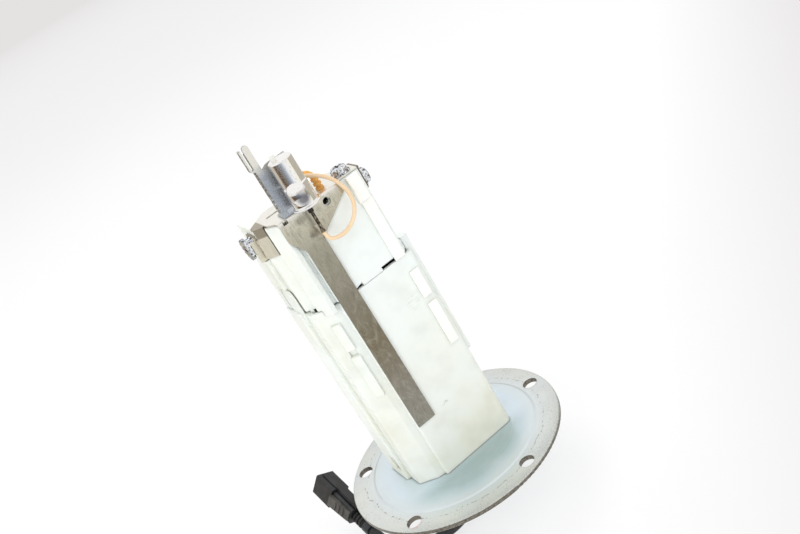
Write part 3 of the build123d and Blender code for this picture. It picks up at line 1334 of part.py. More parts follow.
def outlet_manifold():
    """Moulded block that joins feed tube, regulator and outlet pipe."""
    floor = SEAT_RISE
    wide = CHANNEL_RADIUS + BOSS_WALL
    body = disc(FEED_SOCKET, floor, FEED_BOTTOM + 4.5, FEED)
    body += disc(PIPE_RADIUS + BOSS_WALL, floor, MANIFOLD_TOP, OUTLET)
    body += disc(REGULATOR_RADIUS, floor, REGULATOR_BOTTOM - 0.1, REGULATOR)
    for start, end in ((FEED, OUTLET), (FEED, REGULATOR)):
        run = hypot(end[0] - start[0], end[1] - start[1])
        angle = degrees(atan2(end[1] - start[1], end[0] - start[0]))
        arm = Box(run, 2 * wide, MANIFOLD_TOP - floor, align=(Align.MIN, Align.CENTER, Align.MIN))
        body += Pos(*start, floor) * Rot(0, 0, angle) * arm
    height = floor + 3.4
    body -= channel(FEED, OUTLET, height) + channel(FEED, REGULATOR, height)
    body -= disc(FEED_RADIUS + SEAT_GAP, FEED_BOTTOM, FEED_BOTTOM + 6, FEED)
    body -= disc(FEED_RADIUS - FEED_WALL, height, FEED_BOTTOM + 1, FEED)
    body -= tube(FEED_RADIUS + 1.0, FEED_RADIUS - 1, FEED_BOTTOM + 1.5, FEED_BOTTOM + 2.5, FEED)
    body -= disc(PIPE_RADIUS + SEAT_GAP, floor - 1, floor + 2.2, OUTLET)
    body -= disc(PIPE_RADIUS - PIPE_WALL, floor, height + 1, OUTLET)
    body -= disc(REGULATOR_NOSE + SEAT_GAP, height + 0.8, REGULATOR_BOTTOM + 1, REGULATOR)
    body -= disc(1.4, height, height + 1, REGULATOR)
    left, right = clip_walls()
    gap = PLAY
    y = (CLIP_Y[0] - gap, CLIP_Y[1] + gap)
    body -= block((left, right), y, (floor - 1, floor + CLIP_SHEET + gap))
    return body - block((left - 1, left + CLIP_SHEET + 2 * PLAY), y, (floor, CLIP_TOP + 1))


def outlet_pipe():
    """Steel outlet pipe with its elbow, quick-coupling bead and braze collar."""
    low = SEAT_RISE - FLANGE_THICK
    start = SEAT_RISE + 2.0
    bottom = low - PIPE_DROP
    points = [
        (OUTLET[0], OUTLET[1], start),
        (OUTLET[0], OUTLET[1], bottom),
        (OUTLET[0] + PIPE_RUN, OUTLET[1], bottom),
    ]
    path = FilletPolyline(*points, radius=PIPE_BEND)
    section = Plane(origin=path @ 0, z_dir=path % 0)
    pipe = sweep(section * Circle(PIPE_RADIUS), path)
    end = OUTLET[0] + PIPE_RUN
    bead = Pos(end - BEAD_AT, OUTLET[1], bottom) * Rot(0, 90, 0) * Cylinder(BEAD_RADIUS, 1.6)
    pipe += fillet(bead.edges().filter_by(GeomType.CIRCLE), 0.7)
    pipe += disc(COLLAR_RADIUS, low - 1.4, low, OUTLET)
    return pipe - sweep(section * Circle(PIPE_RADIUS - PIPE_WALL), path)


def regulator_body():
    """Lower shell of the pressure regulator with its nose and valve seat."""
    bottom = REGULATOR_BOTTOM
    joint = REGULATOR_JOINT
    inner = REGULATOR_RADIUS - REGULATOR_SHELL
    body = disc(REGULATOR_RADIUS, bottom, joint, REGULATOR)
    body -= disc(inner, bottom + 1.2, joint + 1, REGULATOR)
    body += tube(REGULATOR_FLANGE, inner, joint - 0.8, joint, REGULATOR)
    body += disc(REGULATOR_NOSE, SEAT_RISE + 4.4, bottom + 1, REGULATOR)
    body += disc(2.2, bottom, REGULATOR_SEAT, REGULATOR)
    body -= disc(1.2, SEAT_RISE, REGULATOR_SEAT + 1, REGULATOR)
    for angle in (0, 120, 240):
        body -= disc(0.9, bottom - 1, bottom + 2, around(REGULATOR, 4.9, angle))
    return body


def regulator_cover():
    """Upper shell of the regulator, crimped to the lower one."""
    joint = REGULATOR_JOINT
    inner = REGULATOR_RADIUS - REGULATOR_SHELL
    cover = disc(REGULATOR_RADIUS, joint, REGULATOR_TOP, REGULATOR)
    cover = fillet(cover.edges().group_by(Axis.Z)[-1], 1.0)
    cover -= disc(inner, joint - 1, REGULATOR_TOP - REGULATOR_SHELL, REGULATOR)
    cover += tube(REGULATOR_FLANGE, inner, joint, joint + 0.8, REGULATOR)
    return cover - disc(1.5, joint, REGULATOR_TOP + 1, REGULATOR)


def regulator_valve():
    """Piston valve that lifts off the seat when the pressure is reached."""
    inner = REGULATOR_RADIUS - REGULATOR_SHELL
    seat = REGULATOR_SEAT + 0.02
    valve = disc(2.4, seat, seat + 1.4, REGULATOR)
    valve += disc(inner - SLIDE_GAP, seat + 1.4, seat + 3.2, REGULATOR)
    return valve + disc(1.8, seat + 3.2, seat + 4.6, REGULATOR)


def regulator_spring():
    """Spring that sets the fuel pressure."""
    bottom = REGULATOR_SEAT + 0.02 + 3.2
    return spring(3.4, 0.9, bottom, REGULATOR_TOP - REGULATOR_SHELL, 3, REGULATOR)


# -------------------------------------------------------------- strainer
def strainer_frame():
    """Moulded frame of the suction strainer, clipped into the back wall."""
    x = (STRAINER_X[0] + PLAY, STRAINER_X[1] - PLAY)
    z = (STRAINER_Z[0] + PLAY, STRAINER_Z[1] - PLAY)
    y = (BACK - WALL, BACK)
    frame = block(x, y, z)
    opening = block(
        (x[0] + STRAINER_FRAME, x[1] - STRAINER_FRAME),
        (y[0] - 1, y[1] + 1),
        (z[0] + STRAINER_FRAME, z[1] - STRAINER_FRAME),
    )
    frame -= opening
    span = x[1] - x[0] - 2 * STRAINER_FRAME
    for number in range(1, STRAINER_BARS + 1):
        middle = x[0] + STRAINER_FRAME + span * number / (STRAINER_BARS + 1)
        frame += block((middle - 0.5, middle + 0.5), (y[0] + 0.8, y[1]), (z[0] + 1, z[1] - 1))
    return frame


def strainer_mesh():
    """Fine nylon screen behind the frame's bars."""
    x = (STRAINER_X[0] + PLAY + STRAINER_FRAME, STRAINER_X[1] - PLAY - STRAINER_FRAME)
    z = (STRAINER_Z[0] + PLAY + STRAINER_FRAME, STRAINER_Z[1] - PLAY - STRAINER_FRAME)
    return block(x, (BACK - WALL + 0.3, BACK - WALL + 0.8), z)


# ------------------------------------------------------- lead, connector
def inner_leads():
    """Leads inside the housings: grommet to pump, and boot to pump."""
    height = COVER_NECK + INNER_LEAD / 2 + 0.1
    first, second = [around(PUMP, TERMINAL_RADIUS + 0.6, angle) for angle in TERMINAL_ANGLES]
    before_first, before_second = [around(PUMP, TERMINAL_RADIUS + 5.4, angle) for angle in TERMINAL_ANGLES]
    supply = wire_along([
        (*GROMMET, GROMMET_TOP),
        *LEAD_FOOT,
        *[(LEAD_CORNER[0] + x, LEAD_CORNER[1] + y, share * COVER_NECK) for x, y, share in LEAD_CLIMB],
        (*before_second, height),
        (*second, height),
    ], INNER_LEAD, "supply_lead")
    signal = wire_along([
        (*BOOT, TOP),
        *[(BOOT[0] + x, y, TOP - share * (TOP - COVER_NECK)) for x, y, share in SIGNAL_DROP],
        (*before_first, height),
        (*first, height),
    ], SENSOR_WIRE, "signal_lead")
    return Compound([supply, signal])


def lead_grommet():
    """Rubber grommet that seals the lead through the flange."""
    low = SEAT_RISE - FLANGE_THICK
    return turned([
        (0, GROMMET_TOP),
        (GROMMET_WAIST + 0.6, GROMMET_TOP),
        (GROMMET_RADIUS, SEAT_RISE + 1.0),
        (GROMMET_RADIUS, SEAT_RISE),
        (GROMMET_WAIST, SEAT_RISE),
        (GROMMET_WAIST, low),
        (GROMMET_RADIUS, low),
        (GROMMET_RADIUS, low - 1.2),
        (LEAD / 2 + 1.1, low - GROMMET_TAIL),
        (0, low - GROMMET_TAIL),
    ], GROMMET)


def lead_start():
    """Point where the lead leaves the grommet."""
    return (GROMMET[0], GROMMET[1], SEAT_RISE - FLANGE_THICK - GROMMET_TAIL)


def connector_place():
    """Location of the connector: +Z runs along it from its rear face."""
    turn = Rot(0, 0, CONNECTOR_YAW) * Rot(-CONNECTOR_TILT, 0, 0) * Rot(0, 0, CONNECTOR_ROLL)
    return Pos(*CONNECTOR_REAR) * turn


def behind_connector(distance):
    """Point on the connector's axis behind its rear face."""
    spot = connector_place() * Pos(0, 0, -distance)
    return tuple(spot.position)


def power_lead():
    """Sheathed lead from the grommet round to the connector."""
    points = [
        lead_start(),
        *LEAD_SWEEP,
        behind_connector(SEAL_LENGTH + 8.0),
        behind_connector(SEAL_LENGTH),
    ]
    return wire_along(points, LEAD, "power_lead")


def connector_seal():
    """Ribbed rubber seal where the lead enters the connector."""
    seal = disc(SEAL_RADIUS - 0.5, -SEAL_LENGTH, 0)
    for number in range(3):
        start = 0.9 - SEAL_LENGTH + number * 2.1
        seal += disc(SEAL_RADIUS, start, start + 1.1)
    return connector_place() * seal


def lead_tie():
    """Short tape binding over the end of the lead."""
    end = -SEAL_LENGTH - 0.8
    return connector_place() * tube(LEAD / 2 + 0.9, LEAD / 2 + 0.3, end - 4.2, end)


def connector_housing():
    """Moulded two-way connector: open square hood, narrow body and latch arm."""
    half = HOOD_SIDE / 2
    narrow = BODY_SIDE / 2
    back = CONNECTOR_LENGTH - HOOD_LENGTH
    hood = block((-half, half), (-half, half), (back, CONNECTOR_LENGTH))
    hood = fillet(hood.edges().filter_by(Axis.Z), 0.9)
    body = block((-narrow, narrow), (-narrow, narrow), (0, back + 1))
    housing = hood + fillet(body.edges().filter_by(Axis.Z), 1.4)
    arm = block((narrow + 0.5, narrow + 1.9), (-2.4, 2.4), (-0.6, back + 1))
    arm += block((narrow + 0.5, narrow + 2.6), (-2.4, 2.4), (-0.6, 2.2))
    housing += arm
    housing += block((half - 0.5, half + 0.5), (-2.4, 2.4), (back, CONNECTOR_LENGTH - 1.2))
    inner = half - HOOD_WALL
    housing -= block((-inner, inner), (-inner, inner), (back + 2.0, CONNECTOR_LENGTH + 1))
    return connector_place() * housing


def connector_lock():
    """Grey wedge-shaped lock clipped to one side of the narrow body."""
    narrow = BODY_SIDE / 2
    back = CONNECTOR_LENGTH - HOOD_LENGTH
    points = [(-narrow, 0.8), (-narrow, back), (-narrow - 2.6, back), (-narrow - 0.9, 0.8)]
    lock = sideways(points, -2.6, 5.2, [(2, 0.6), (3, 0.4)])
    for number in range(3):
        height = 4.0 + 2.6 * number
        lock += block((-2.0, 2.0), (-narrow - 2.0 - 0.24 * number, -narrow), (height, height + 0.8))
    return connector_place() * lock


def connector_terminals():
    """Two blade terminals in the hood."""
    root = CONNECTOR_LENGTH - HOOD_LENGTH + 2.0
    blades = []
    for side in (-1, 1):
        middle = side * PIN_PITCH / 2
        blade = Pos(middle, 0, root) * Box(*PIN, align=UPRIGHT)
        blades.append(chamfer(blade.edges().group_by(Axis.Z)[-1].filter_by(Axis.X), 0.2))
    return connector_place() * Compound(blades)


# ------------------------------------------------------------------ build
for maker in (
    flange_plate, base_bracket, lower_housing, upper_housing, strap_bracket, bracket_screws,
    screw_washers, sensor_bracket, sensor_can, sensor_base, thermistor, sensor_sleeve, sensor_wire,
    sensor_boot, pump_case, inlet_cover, impeller_casing, shaft_bushes, impeller, rotor_shaft,
    armature_core, armature_windings, commutator, magnets, end_cover, check_valve,
    check_valve_spring, valve_cage, relief_ball, relief_spring, relief_plug, pump_terminals,
    pump_dampers, filter_canister, filter_lid, filter_element, filter_end_caps, nipple_seal,
    feed_tube, feed_seals, outlet_manifold, outlet_pipe, regulator_body, regulator_cover,
    regulator_valve, regulator_spring, strainer_frame, strainer_mesh, inner_leads, lead_grommet,
    power_lead, lead_tie, connector_housing, connector_lock, connector_terminals, connector_seal,
):
    nodes[maker.__name__] = maker()

for side_name, side in (("left", -1), ("right", 1)):
    nodes["brush_" + side_name] = brush(side)
    nodes["brush_spring_" + side_name] = brush_spring(side)

os.makedirs("parts", exist_ok=True)
for name, shape in nodes.items():
    export_step(shape, "parts/" + name + ".step")
print(len(nodes), "nodes")
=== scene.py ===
import bmesh
import bpy
import math
from mathutils import Matrix, Vector


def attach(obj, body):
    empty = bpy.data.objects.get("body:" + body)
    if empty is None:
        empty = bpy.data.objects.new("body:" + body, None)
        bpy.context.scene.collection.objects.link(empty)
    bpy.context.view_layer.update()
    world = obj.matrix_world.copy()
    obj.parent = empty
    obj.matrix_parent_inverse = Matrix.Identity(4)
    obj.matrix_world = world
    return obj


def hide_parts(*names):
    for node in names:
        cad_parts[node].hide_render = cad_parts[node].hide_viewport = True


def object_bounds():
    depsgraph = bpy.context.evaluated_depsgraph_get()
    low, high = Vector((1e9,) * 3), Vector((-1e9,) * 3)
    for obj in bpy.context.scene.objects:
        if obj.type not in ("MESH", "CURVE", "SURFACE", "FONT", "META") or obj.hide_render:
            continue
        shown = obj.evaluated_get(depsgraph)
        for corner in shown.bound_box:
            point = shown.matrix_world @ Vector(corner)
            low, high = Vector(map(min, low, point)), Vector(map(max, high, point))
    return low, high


# Looks of a motorcycle fuel pump module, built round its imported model.
# Lengths are in metres in the part's own frame: +Z runs up the module from
# the flange's upper face, and -Y points out of the wide front face.

bl_info = {
    "name": "Fuel pump module",
    "version": (1, 0, 0),
    "blender": (4, 5, 0),
    "location": "View3D > Sidebar > Fuel pump",
    "description": "Dresses a fuel pump module: moulded housings, strap, sensor, screws and leads",
    "category": "Object",
}

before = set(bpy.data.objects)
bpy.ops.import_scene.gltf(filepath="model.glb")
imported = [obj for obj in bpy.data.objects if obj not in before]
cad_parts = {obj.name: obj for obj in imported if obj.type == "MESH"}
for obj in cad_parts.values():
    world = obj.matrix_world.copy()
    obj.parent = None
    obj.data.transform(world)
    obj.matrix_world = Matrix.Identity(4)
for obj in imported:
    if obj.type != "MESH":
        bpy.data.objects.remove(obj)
CAD_BOX = [list(corner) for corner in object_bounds()]
MM = 0.001
BODY = "module"

# -------------------------------------------------------- stage, in metres
CAMERA_AT = Vector((-0.098326, -0.377342, 0.257179))
CAMERA_RIGHT = Vector((0.758396, -0.452531, -0.469096))
CAMERA_UP = Vector((0.589483, 0.169123, 0.789878))
CAMERA_LENS = 45.0      # mm
CAMERA_SENSOR = 36.0    # mm
CAMERA_CLIP = (0.01, 20)
LAMP_SIZE = 1.0
LAMP_AIM = (0, 0, 0.08)
LAMPS = (               # name, place and watts
    ("key_lamp", (0.5, -0.7, 1.0), 4.6),
    ("fill_lamp", (-0.9, -0.5, 0.5), 5.4),
    ("back_lamp", (0.1, 0.7, 1.2), 8.0),
)
WORLD_LIGHT = 0.62
FLOOR_RADIUS = 8.0
FLOOR_DROP = 0.002      # below the lowest point of the model
FLOOR_LIT = (0.72, 1.0)  # share of its own glow, where it is white and where it is grey
FAR_FLOOR = (2.2, 7.9)  # distances over which the floor's glow greys, a painted fall-off of light
NEAR_RIGHT = (0.1, 0.3)  # and the same for X less Y
FAR_GREY = "#E5E2E2"
CARD_RADIUS = 0.3
CARD_TOP = 0.1
CARD_DROP = 0.001
# tints of the ring of cards, by the share of a turn from -X, anticlockwise
CARD_TINTS = (
    (0.0, "#5C4F43"), (0.05, "#6E6052"), (0.095, "#7D7977"), (0.139, "#878F9C"), (0.195, "#B4BECB"),
    (0.235, "#F0F4F8"), (0.315, "#FFFFFF"), (0.398, "#FCFAE8"), (0.405, "#6E695F"), (0.412, "#BFB9AC"),
    (0.70, "#C4BEB2"), (0.94, "#CFC4B4"), (0.972, "#7A6B5C"), (1.0, "#5C4F43"),
)

# ------------------------------------------------------------ cords, in mm
LEAD_ROUTE = (
    (3.0, -7.0, -6.2), (3.0, -7.0, -14.0), (-3.0, -8.6, -21.0), (-12.0, -10.5, -25.6),
    (-23.0, -11.2, -27.2), (-34.0, -8.6, -27.0), (-43.0, -2.4, -25.8), (-48.6, 6.4, -23.9),
    (-50.37, 15.636, -20.692), (-50.706, 23.03, -17.656),
)
WIRE_ROUTE = (
    (-4.4, -20.8, 128.2), (-4.4, -20.8, 125.6), (-2.4, -20.7, 123.2), (3.0, -20.6, 122.3),
    (8.6, -20.5, 124.6), (12.2, -20.3, 129.3), (13.0, -19.8, 134.6), (12.1, -18.6, 139.0),
    (10.4, -17.0, 142.9), (7.4, -15.1, 146.0), (4.2, -13.8, 148.0), (1.8, -12.4, 149.2),
    (1.5, -10.42, 149.53), (3.4, -10.3, 148.7),
)
CORD_ORDER = 3          # of the curve's smoothness
CORD_STEPS = 12         # between two points of a route
CORD_ROUNDING = 6

# ------------------------------------------------- low-fuel sensor, in mm
TOP = 139.0             # top of the upper housing
CAN_AXIS = (-4.4, -20.8)
CAN_RADIUS = 5.2
CAN_NECK = 4.95         # radius above the step
CAN_BOTTOM = TOP + 2.0
CAN_STEP = TOP + 12.0
CAN_TOP = TOP + 23.4
CAN_LIP = 6.2
CAN_WALL = 0.4
CAN_SIDES = 180
WALL_STEP = 0.25        # between two rings of the wall
WALL_FOOT = CAN_BOTTOM + 1.4
WALL_FLARE = (0.15, 1.0)  # how far out and how high the wall spreads to its lip
STEP_HALF = 0.2
CROWN_ROUND = 0.6
LIP_ROUND = 0.45
DOME_RADIUS = 4.7
DOME_RISE = 1.2
DOME_ANGLE = -118.0
DOME_HEIGHT = TOP + 8.8
DOME_LEAST = CAN_BOTTOM + 1.3
DOME_SLACK = 0.01
# spot and reach of the painted dark reflection on the dome
DOME_PAINTED_REFLECTION = ((-5.8, -26.6, TOP + 6.6), (3.8, 3.8, 3.9))
TAG_SIZE = (2.2, 0.5, 2.8)
TAG_ROUND = 0.15
TAG_AT = (CAN_AXIS[0] - 1.8, CAN_AXIS[1] + 1.2, CAN_TOP + 0.9)

# ------------- where a finish or painted light changes: two heights, sides or radii, in mm
HOUSING_LOW = (100, 10)
HOUSING_LEFT = (-14, -20)
# where the raised boss on the front gets its painted highlight
BOSS_PROUD = (-16.1, -16.4)
BOSS_FOOT = (40, 60)
ZINC_HANDLED = (34, 47)
# where the zinc before the housing gets its painted shade
ZINC_FRONT = (-12, -20)
ZINC_SHADED = (39, 30)
ZINC_GRITTY = (40, 50)
GASKET_LINE_IN = (44.6, 45.0)
GASKET_LINE_OUT = (45.4, 45.1)
RIM_BITTEN = (47.5, 51.5)
RIM_FRONT = (-5, -35)
STRAP_RISE = (20, 140)
# heights of the fold's painted highlight
STRAP_FOLD = (138.5, 139.3)
STRAP_LEFT_TAB = (-19.8, -20.4)
STRAP_TAB_BEND = (TOP - 3.6, TOP - 3.0)
STRAP_RIGHT_EDGE = (22.4, 22.7)
PLATE_UPRIGHT = (TOP + 3.0, TOP + 4.0)
# heights of the arm's painted highlight
PLATE_ARM = (158, 164)
SLEEVE_FALL = (TOP + 2.0, TOP - 10.0)
# tones up the strap: browner low down from stain, and paler towards the top plate as a painted reflection
STRAP_STAIN_AND_REFLECTION_TONES = (
    (0.0, "#9A978A"), (0.18, "#98948A"), (0.45, "#867D67"), (0.62, "#928C7C"),
    (0.85, "#ABA796"), (0.93, "#CBC6B2"), (0.97, "#D6D2C0"), (1.0, "#EAE7DC"),
)
SLEEVE_TONES = ((0.0, "#15120F"), (0.35, "#2A211B"), (0.6, "#4C4034"), (1.0, "#75685A"))
EDGE_SAMPLES = 6        # of the shader's soft edges and painted shade where parts meet
SHARP_FROM = 35         # degrees between faces

# ------------------ marks of use, and painted shade on the strap: places and reaches in mm, and strengths
SCUFFS = (
    ((2.4, -15.8, 30.0), (2.6, 2.0, 0.9), 0.6),
    ((-24.0, -15.0, 95.5), (2.0, 8.0, 3.0), 0.6),
    ((-26.5, 17.0, 44.7), (2.6, 1.6, 1.7), 1.0),
    ((14.0, -15.8, 78.0), (5.0, 2.0, 6.0), 0.16),
)
# painted shade: a dark spot beside the dimple, and the can's shadow below its lip
STRAP_PAINTED_SHADE = (
    ((-6.8, -16.6, 128.8), (2.4, 2.0, 2.6), 0.7),
    ((-8.7, -16.6, 136.2), (3.4, 2.0, 2.4), 0.55),
)
PINK_MARKS = ((-39.6, -28.2, 0.0), (-35.2, 29.4, 0.0))
PINK_REACH = (3.4, 1.6, 1.0)

# ----- metals: light and worn colours, grit in mm, least and most roughness
METALS = (
    ("bright_zinc_plate", "#F1F4F7", "#34363C", 0.8, 0.12, 0.35, ("bracket_screws", "screw_washers")),
    ("tinned_brass", "#D9CFB4", "#9C8E66", 0.6, 0.12, 0.35, ("connector_terminals", "pump_terminals")),
    ("plated_steel_tube", "#C4C6C8", "#7E8083", 1.2, 0.18, 0.4,
     ("pump_case", "outlet_pipe", "feed_tube", "regulator_cover", "regulator_body")),
    ("die_cast_alloy", "#B9BABD", "#86878A", 0.8, 0.35, 0.55, ("inlet_cover", "impeller_casing")),
    ("ground_steel", "#D2D3D5", "#A5A6A9", 0.3, 0.08, 0.2, ("rotor_shaft", "relief_ball")),
    ("spring_wire", "#A9A9AC", "#6C6C70", 0.3, 0.2, 0.35,
     ("check_valve_spring", "relief_spring", "regulator_spring", "brush_spring_left", "brush_spring_right")),
    ("silicon_steel_stack", "#77777B", "#4C4C50", 0.5, 0.4, 0.6, ("armature_core",)),
    ("enamelled_copper", "#B5612F", "#7A3E1E", 0.4, 0.25, 0.4, ("armature_windings",)),
    ("sintered_bronze", "#B08A4E", "#7C5E32", 0.3, 0.4, 0.6, ("shaft_bushes",)),
)

# --------------- mouldings: colour and dust on it, grain in mm, roughness
MOULDINGS = (
    ("nylon_tie", "#1D2022", "#3C4244", 0.5, 0.3, ("lead_tie",)),
    ("nitrile_rubber", "#161616", "#3A3A38", 0.5, 0.5,
     ("connector_seal", "lead_grommet", "nipple_seal", "feed_seals", "pump_dampers")),
    ("nylon_lock", "#4B4945", "#6E6B66", 0.4, 0.42, ("connector_lock",)),
    ("phenolic_moulding", "#3B2618", "#5C4632", 0.4, 0.45, ("impeller", "commutator")),
    ("sintered_carbon", "#1B1B1D", "#3B3B3E", 0.3, 0.5, ("brush_left", "brush_right")),
    ("sintered_ferrite", "#38383B", "#55555A", 0.6, 0.6, ("magnets",)),
    ("fuel_proof_nylon", "#29292C", "#4B4B4E", 0.4, 0.45,
     ("end_cover", "check_valve", "valve_cage", "regulator_valve", "filter_canister", "relief_plug")),
    ("natural_nylon", "#E3DECB", "#CFC8AE", 0.4, 0.45,
     ("filter_lid", "filter_end_caps", "outlet_manifold", "strainer_frame")),
    ("pleated_filter_paper", "#D6BD85", "#B99F66", 0.3, 0.9, ("filter_element",)),
    ("woven_nylon_mesh", "#ECE8D6", "#C9C4AE", 0.3, 0.7, ("strainer_mesh",)),
    ("glass_bead_epoxy", "#2A2420", "#50463E", 0.3, 0.3, ("thermistor",)),
    ("lead_insulation", "#2B2B2D", "#4E4E50", 0.4, 0.4, ("inner_leads",)),
)


# ------------------------------------------------------------- small tools
def linear(code):
    """Linear colour of an sRGB hex code."""
    levels = [int(code[i:i + 2], 16) / 255 for i in (1, 3, 5)]
    return (*[v / 12.92 if v <= 0.04045 else ((v + 0.055) / 1.055) ** 2.4 for v in levels], 1.0)


def per_mm(size):
    """Texture scale at which one feature measures that many millimetres."""
    return 1 / (size * MM)


def add(tree, kind, inputs=None, **settings):
    """Adds a node with its settings; an input is a value or a socket to link."""
    node = tree.nodes.new("ShaderNode" + kind)
    for name, value in settings.items():
        setattr(node, name, value)
    for key, value in (inputs or {}).items():
        if isinstance(value, bpy.types.NodeSocket):
            tree.links.new(value, node.inputs[key])
        else:
            node.inputs[key].default_value = value
    return node


def blank_material(name):
    """New material: itself, its tree, its shader and the piece's coordinates."""
    material = bpy.data.materials.new(name)
    material.use_nodes = True
    tree = material.node_tree
    place = add(tree, "TexCoord").outputs["Object"]
    return material, tree, tree.nodes["Principled BSDF"], place


def feed(tree, shader, **inputs):
    """Sets or links the shader's inputs by name, with _ for a space."""
    for name, value in inputs.items():
        socket = shader.inputs[name.replace("_", " ")]
        if isinstance(value, bpy.types.NodeSocket):
            tree.links.new(value, socket)
        else:
            socket.default_value = value


def noise(tree, place, size, stretch=(1, 1, 1), **settings):
    """Soft noise whose blobs measure size millimetres, pulled out along an axis."""
    spread = add(tree, "Mapping", {"Vector": place, "Scale": stretch}).outputs[0]
    return add(tree, "TexNoise", {"Vector": spread, "Scale": per_mm(size), **settings}).outputs["Fac"]


def between(tree, value, low, high, start=0.0, end=1.0):
    """Value brought from low..high to start..end, and held there outside."""
    inputs = {"Value": value, "From Min": low, "From Max": high, "To Min": start, "To Max": end}
    return add(tree, "MapRange", inputs).outputs[0]


def across(tree, length, edge, start=0.0, end=1.0):
    """Length in metres brought to start..end over an edge, given as two lengths in mm."""
    return between(tree, length, edge[0] * MM, edge[1] * MM, start, end)


def mixed(tree, share, first, second):
    """Colour between two, by a share."""
    return add(tree, "Mix", {0: share, 6: first, 7: second}, data_type="RGBA").outputs[2]


def times(tree, first, second):
    """Product of two values."""
    return add(tree, "Math", {0: first, 1: second}, operation="MULTIPLY").outputs[0]


def larger(tree, first, second):
    """The larger of two values, so that marks which overlap don't add up."""
    return add(tree, "Math", {0: first, 1: second}, operation="MAXIMUM").outputs[0]


def unsigned(tree, value):
    """Value without its sign."""
    return add(tree, "Math", {0: value}, operation="ABSOLUTE").outputs[0]


def distance(tree, place):
    """Length of a vector."""
    return add(tree, "VectorMath", {0: place}, operation="LENGTH").outputs["Value"]


def even_light(tree, kind, colour, strength=1.0):
    """Light of one colour, as an Emission or a Background."""
    return add(tree, kind, {"Color": colour, "Strength": strength}).outputs[0]


def bumped(tree, height, depth, strength=1.0, rounded=0.0):
    """Normal from a height pattern depth millimetres deep; rounded, in mm, softens edges."""
    inputs = {"Height": height, "Distance": depth * MM, "Strength": strength}
    if rounded:
        inputs["Normal"] = add(tree, "Bevel", {"Radius": rounded * MM}, samples=EDGE_SAMPLES).outputs[0]
    return add(tree, "Bump", inputs).outputs[0]


def within(tree, place, spot, reach):
    """1 at a spot given in mm, falling to 0 at its reach along each axis."""
    away = add(tree, "VectorMath", {0: place, 1: [v * MM for v in spot]}, operation="SUBTRACT").outputs[0]
    shares = {0: away, 1: [per_mm(v) for v in reach]}
    scaled = add(tree, "VectorMath", shares, operation="MULTIPLY").outputs[0]
    return between(tree, distance(tree, scaled), 0.4, 1.0, 1.0, 0.0)


def along(tree, place, axis):
    """A vector's X, Y or Z."""
    return add(tree, "SeparateXYZ", {0: place}).outputs[axis]


def facing(tree, axis):
    """How far the surface faces along X, Y or Z."""
    return along(tree, add(tree, "NewGeometry").outputs["Normal"], axis)


def ramp(tree, value, stops):
    """Colour by value, through stops of a position and an sRGB code."""
    node = add(tree, "ValToRGB", {0: value})
    elements = node.color_ramp.elements
    for position, code in stops[1:-1]:
        elements.new(position).color = linear(code)
    for element, (position, code) in ((elements[0], stops[0]), (elements[-1], stops[-1])):
        element.position, element.color = position, linear(code)
    return node.outputs[0]


def painted_corner_shade(tree, reach, low, high):
    """Painted shade, darker where other surfaces stand close by, within reach in mm."""
    near = {"Distance": reach * MM}
    open_share = add(tree, "AmbientOcclusion", near, samples=EDGE_SAMPLES).outputs["AO"]
    return between(tree, open_share, high, low)


# --------------------------------------------------------------- materials
def natural_acetal(colours):
    """Natural acetal, injection moulded: milky and satin, so light sinks in a little."""
    material, tree, shader, place = blank_material("natural_acetal")
    clouds = noise(tree, place, 26, Detail=3.0)
    streaks = noise(tree, place, 9, (1, 1, 0.25), Detail=4.0)
    grain = noise(tree, place, 0.5, Detail=2.0)
    height = along(tree, place, 2)
    low = across(tree, height, HOUSING_LOW, 0.1, 0.75)
    left = across(tree, along(tree, place, 0), HOUSING_LEFT, 0.0, 0.45)
    aged = times(tree, larger(tree, low, left), between(tree, clouds, 0.35, 0.7, 0.35, 1.0))
    colour = mixed(tree, aged, colours.acetal, colours.acetal_aged)
    smear = noise(tree, place, 0.8, (0.3, 0.3, 1.0), Detail=6.0, Distortion=0.5)
    handled = between(tree, noise(tree, place, 12, Detail=4.0), 0.5, 0.75, 0.0, 0.12)
    for spot, reach, depth in SCUFFS:
        patch = times(tree, within(tree, place, spot, reach), between(tree, smear, 0.45, 0.6, 0.0, depth))
        handled = larger(tree, handled, patch)
    colour = mixed(tree, handled, colour, linear("#8F8E80"))
    # painted highlight: the raised boss on the front is whitened, as if it caught more light
    painted_boss_highlight = times(tree, across(tree, along(tree, place, 1), BOSS_PROUD), across(tree, height, BOSS_FOOT))
    colour = mixed(tree, painted_boss_highlight, colour, linear("#FBFBF4"))
    # painted shade: greyer where surfaces meet and round the bars
    colour = mixed(tree, times(tree, painted_corner_shade(tree, 1.2, 0.3, 0.85), 0.3), colour, linear("#B3AF94"))
    feed(tree, shader, Base_Color=colour, Roughness=between(tree, streaks, 0.3, 0.7, 0.34, 0.46))
    feed(tree, shader, IOR=1.48, Subsurface_Weight=0.3, Subsurface_Radius=(1.0, 0.97, 0.85))
    feed(tree, shader, Subsurface_Scale=1.4 * MM, Normal=bumped(tree, grain, 0.008, rounded=0.55))
    return material


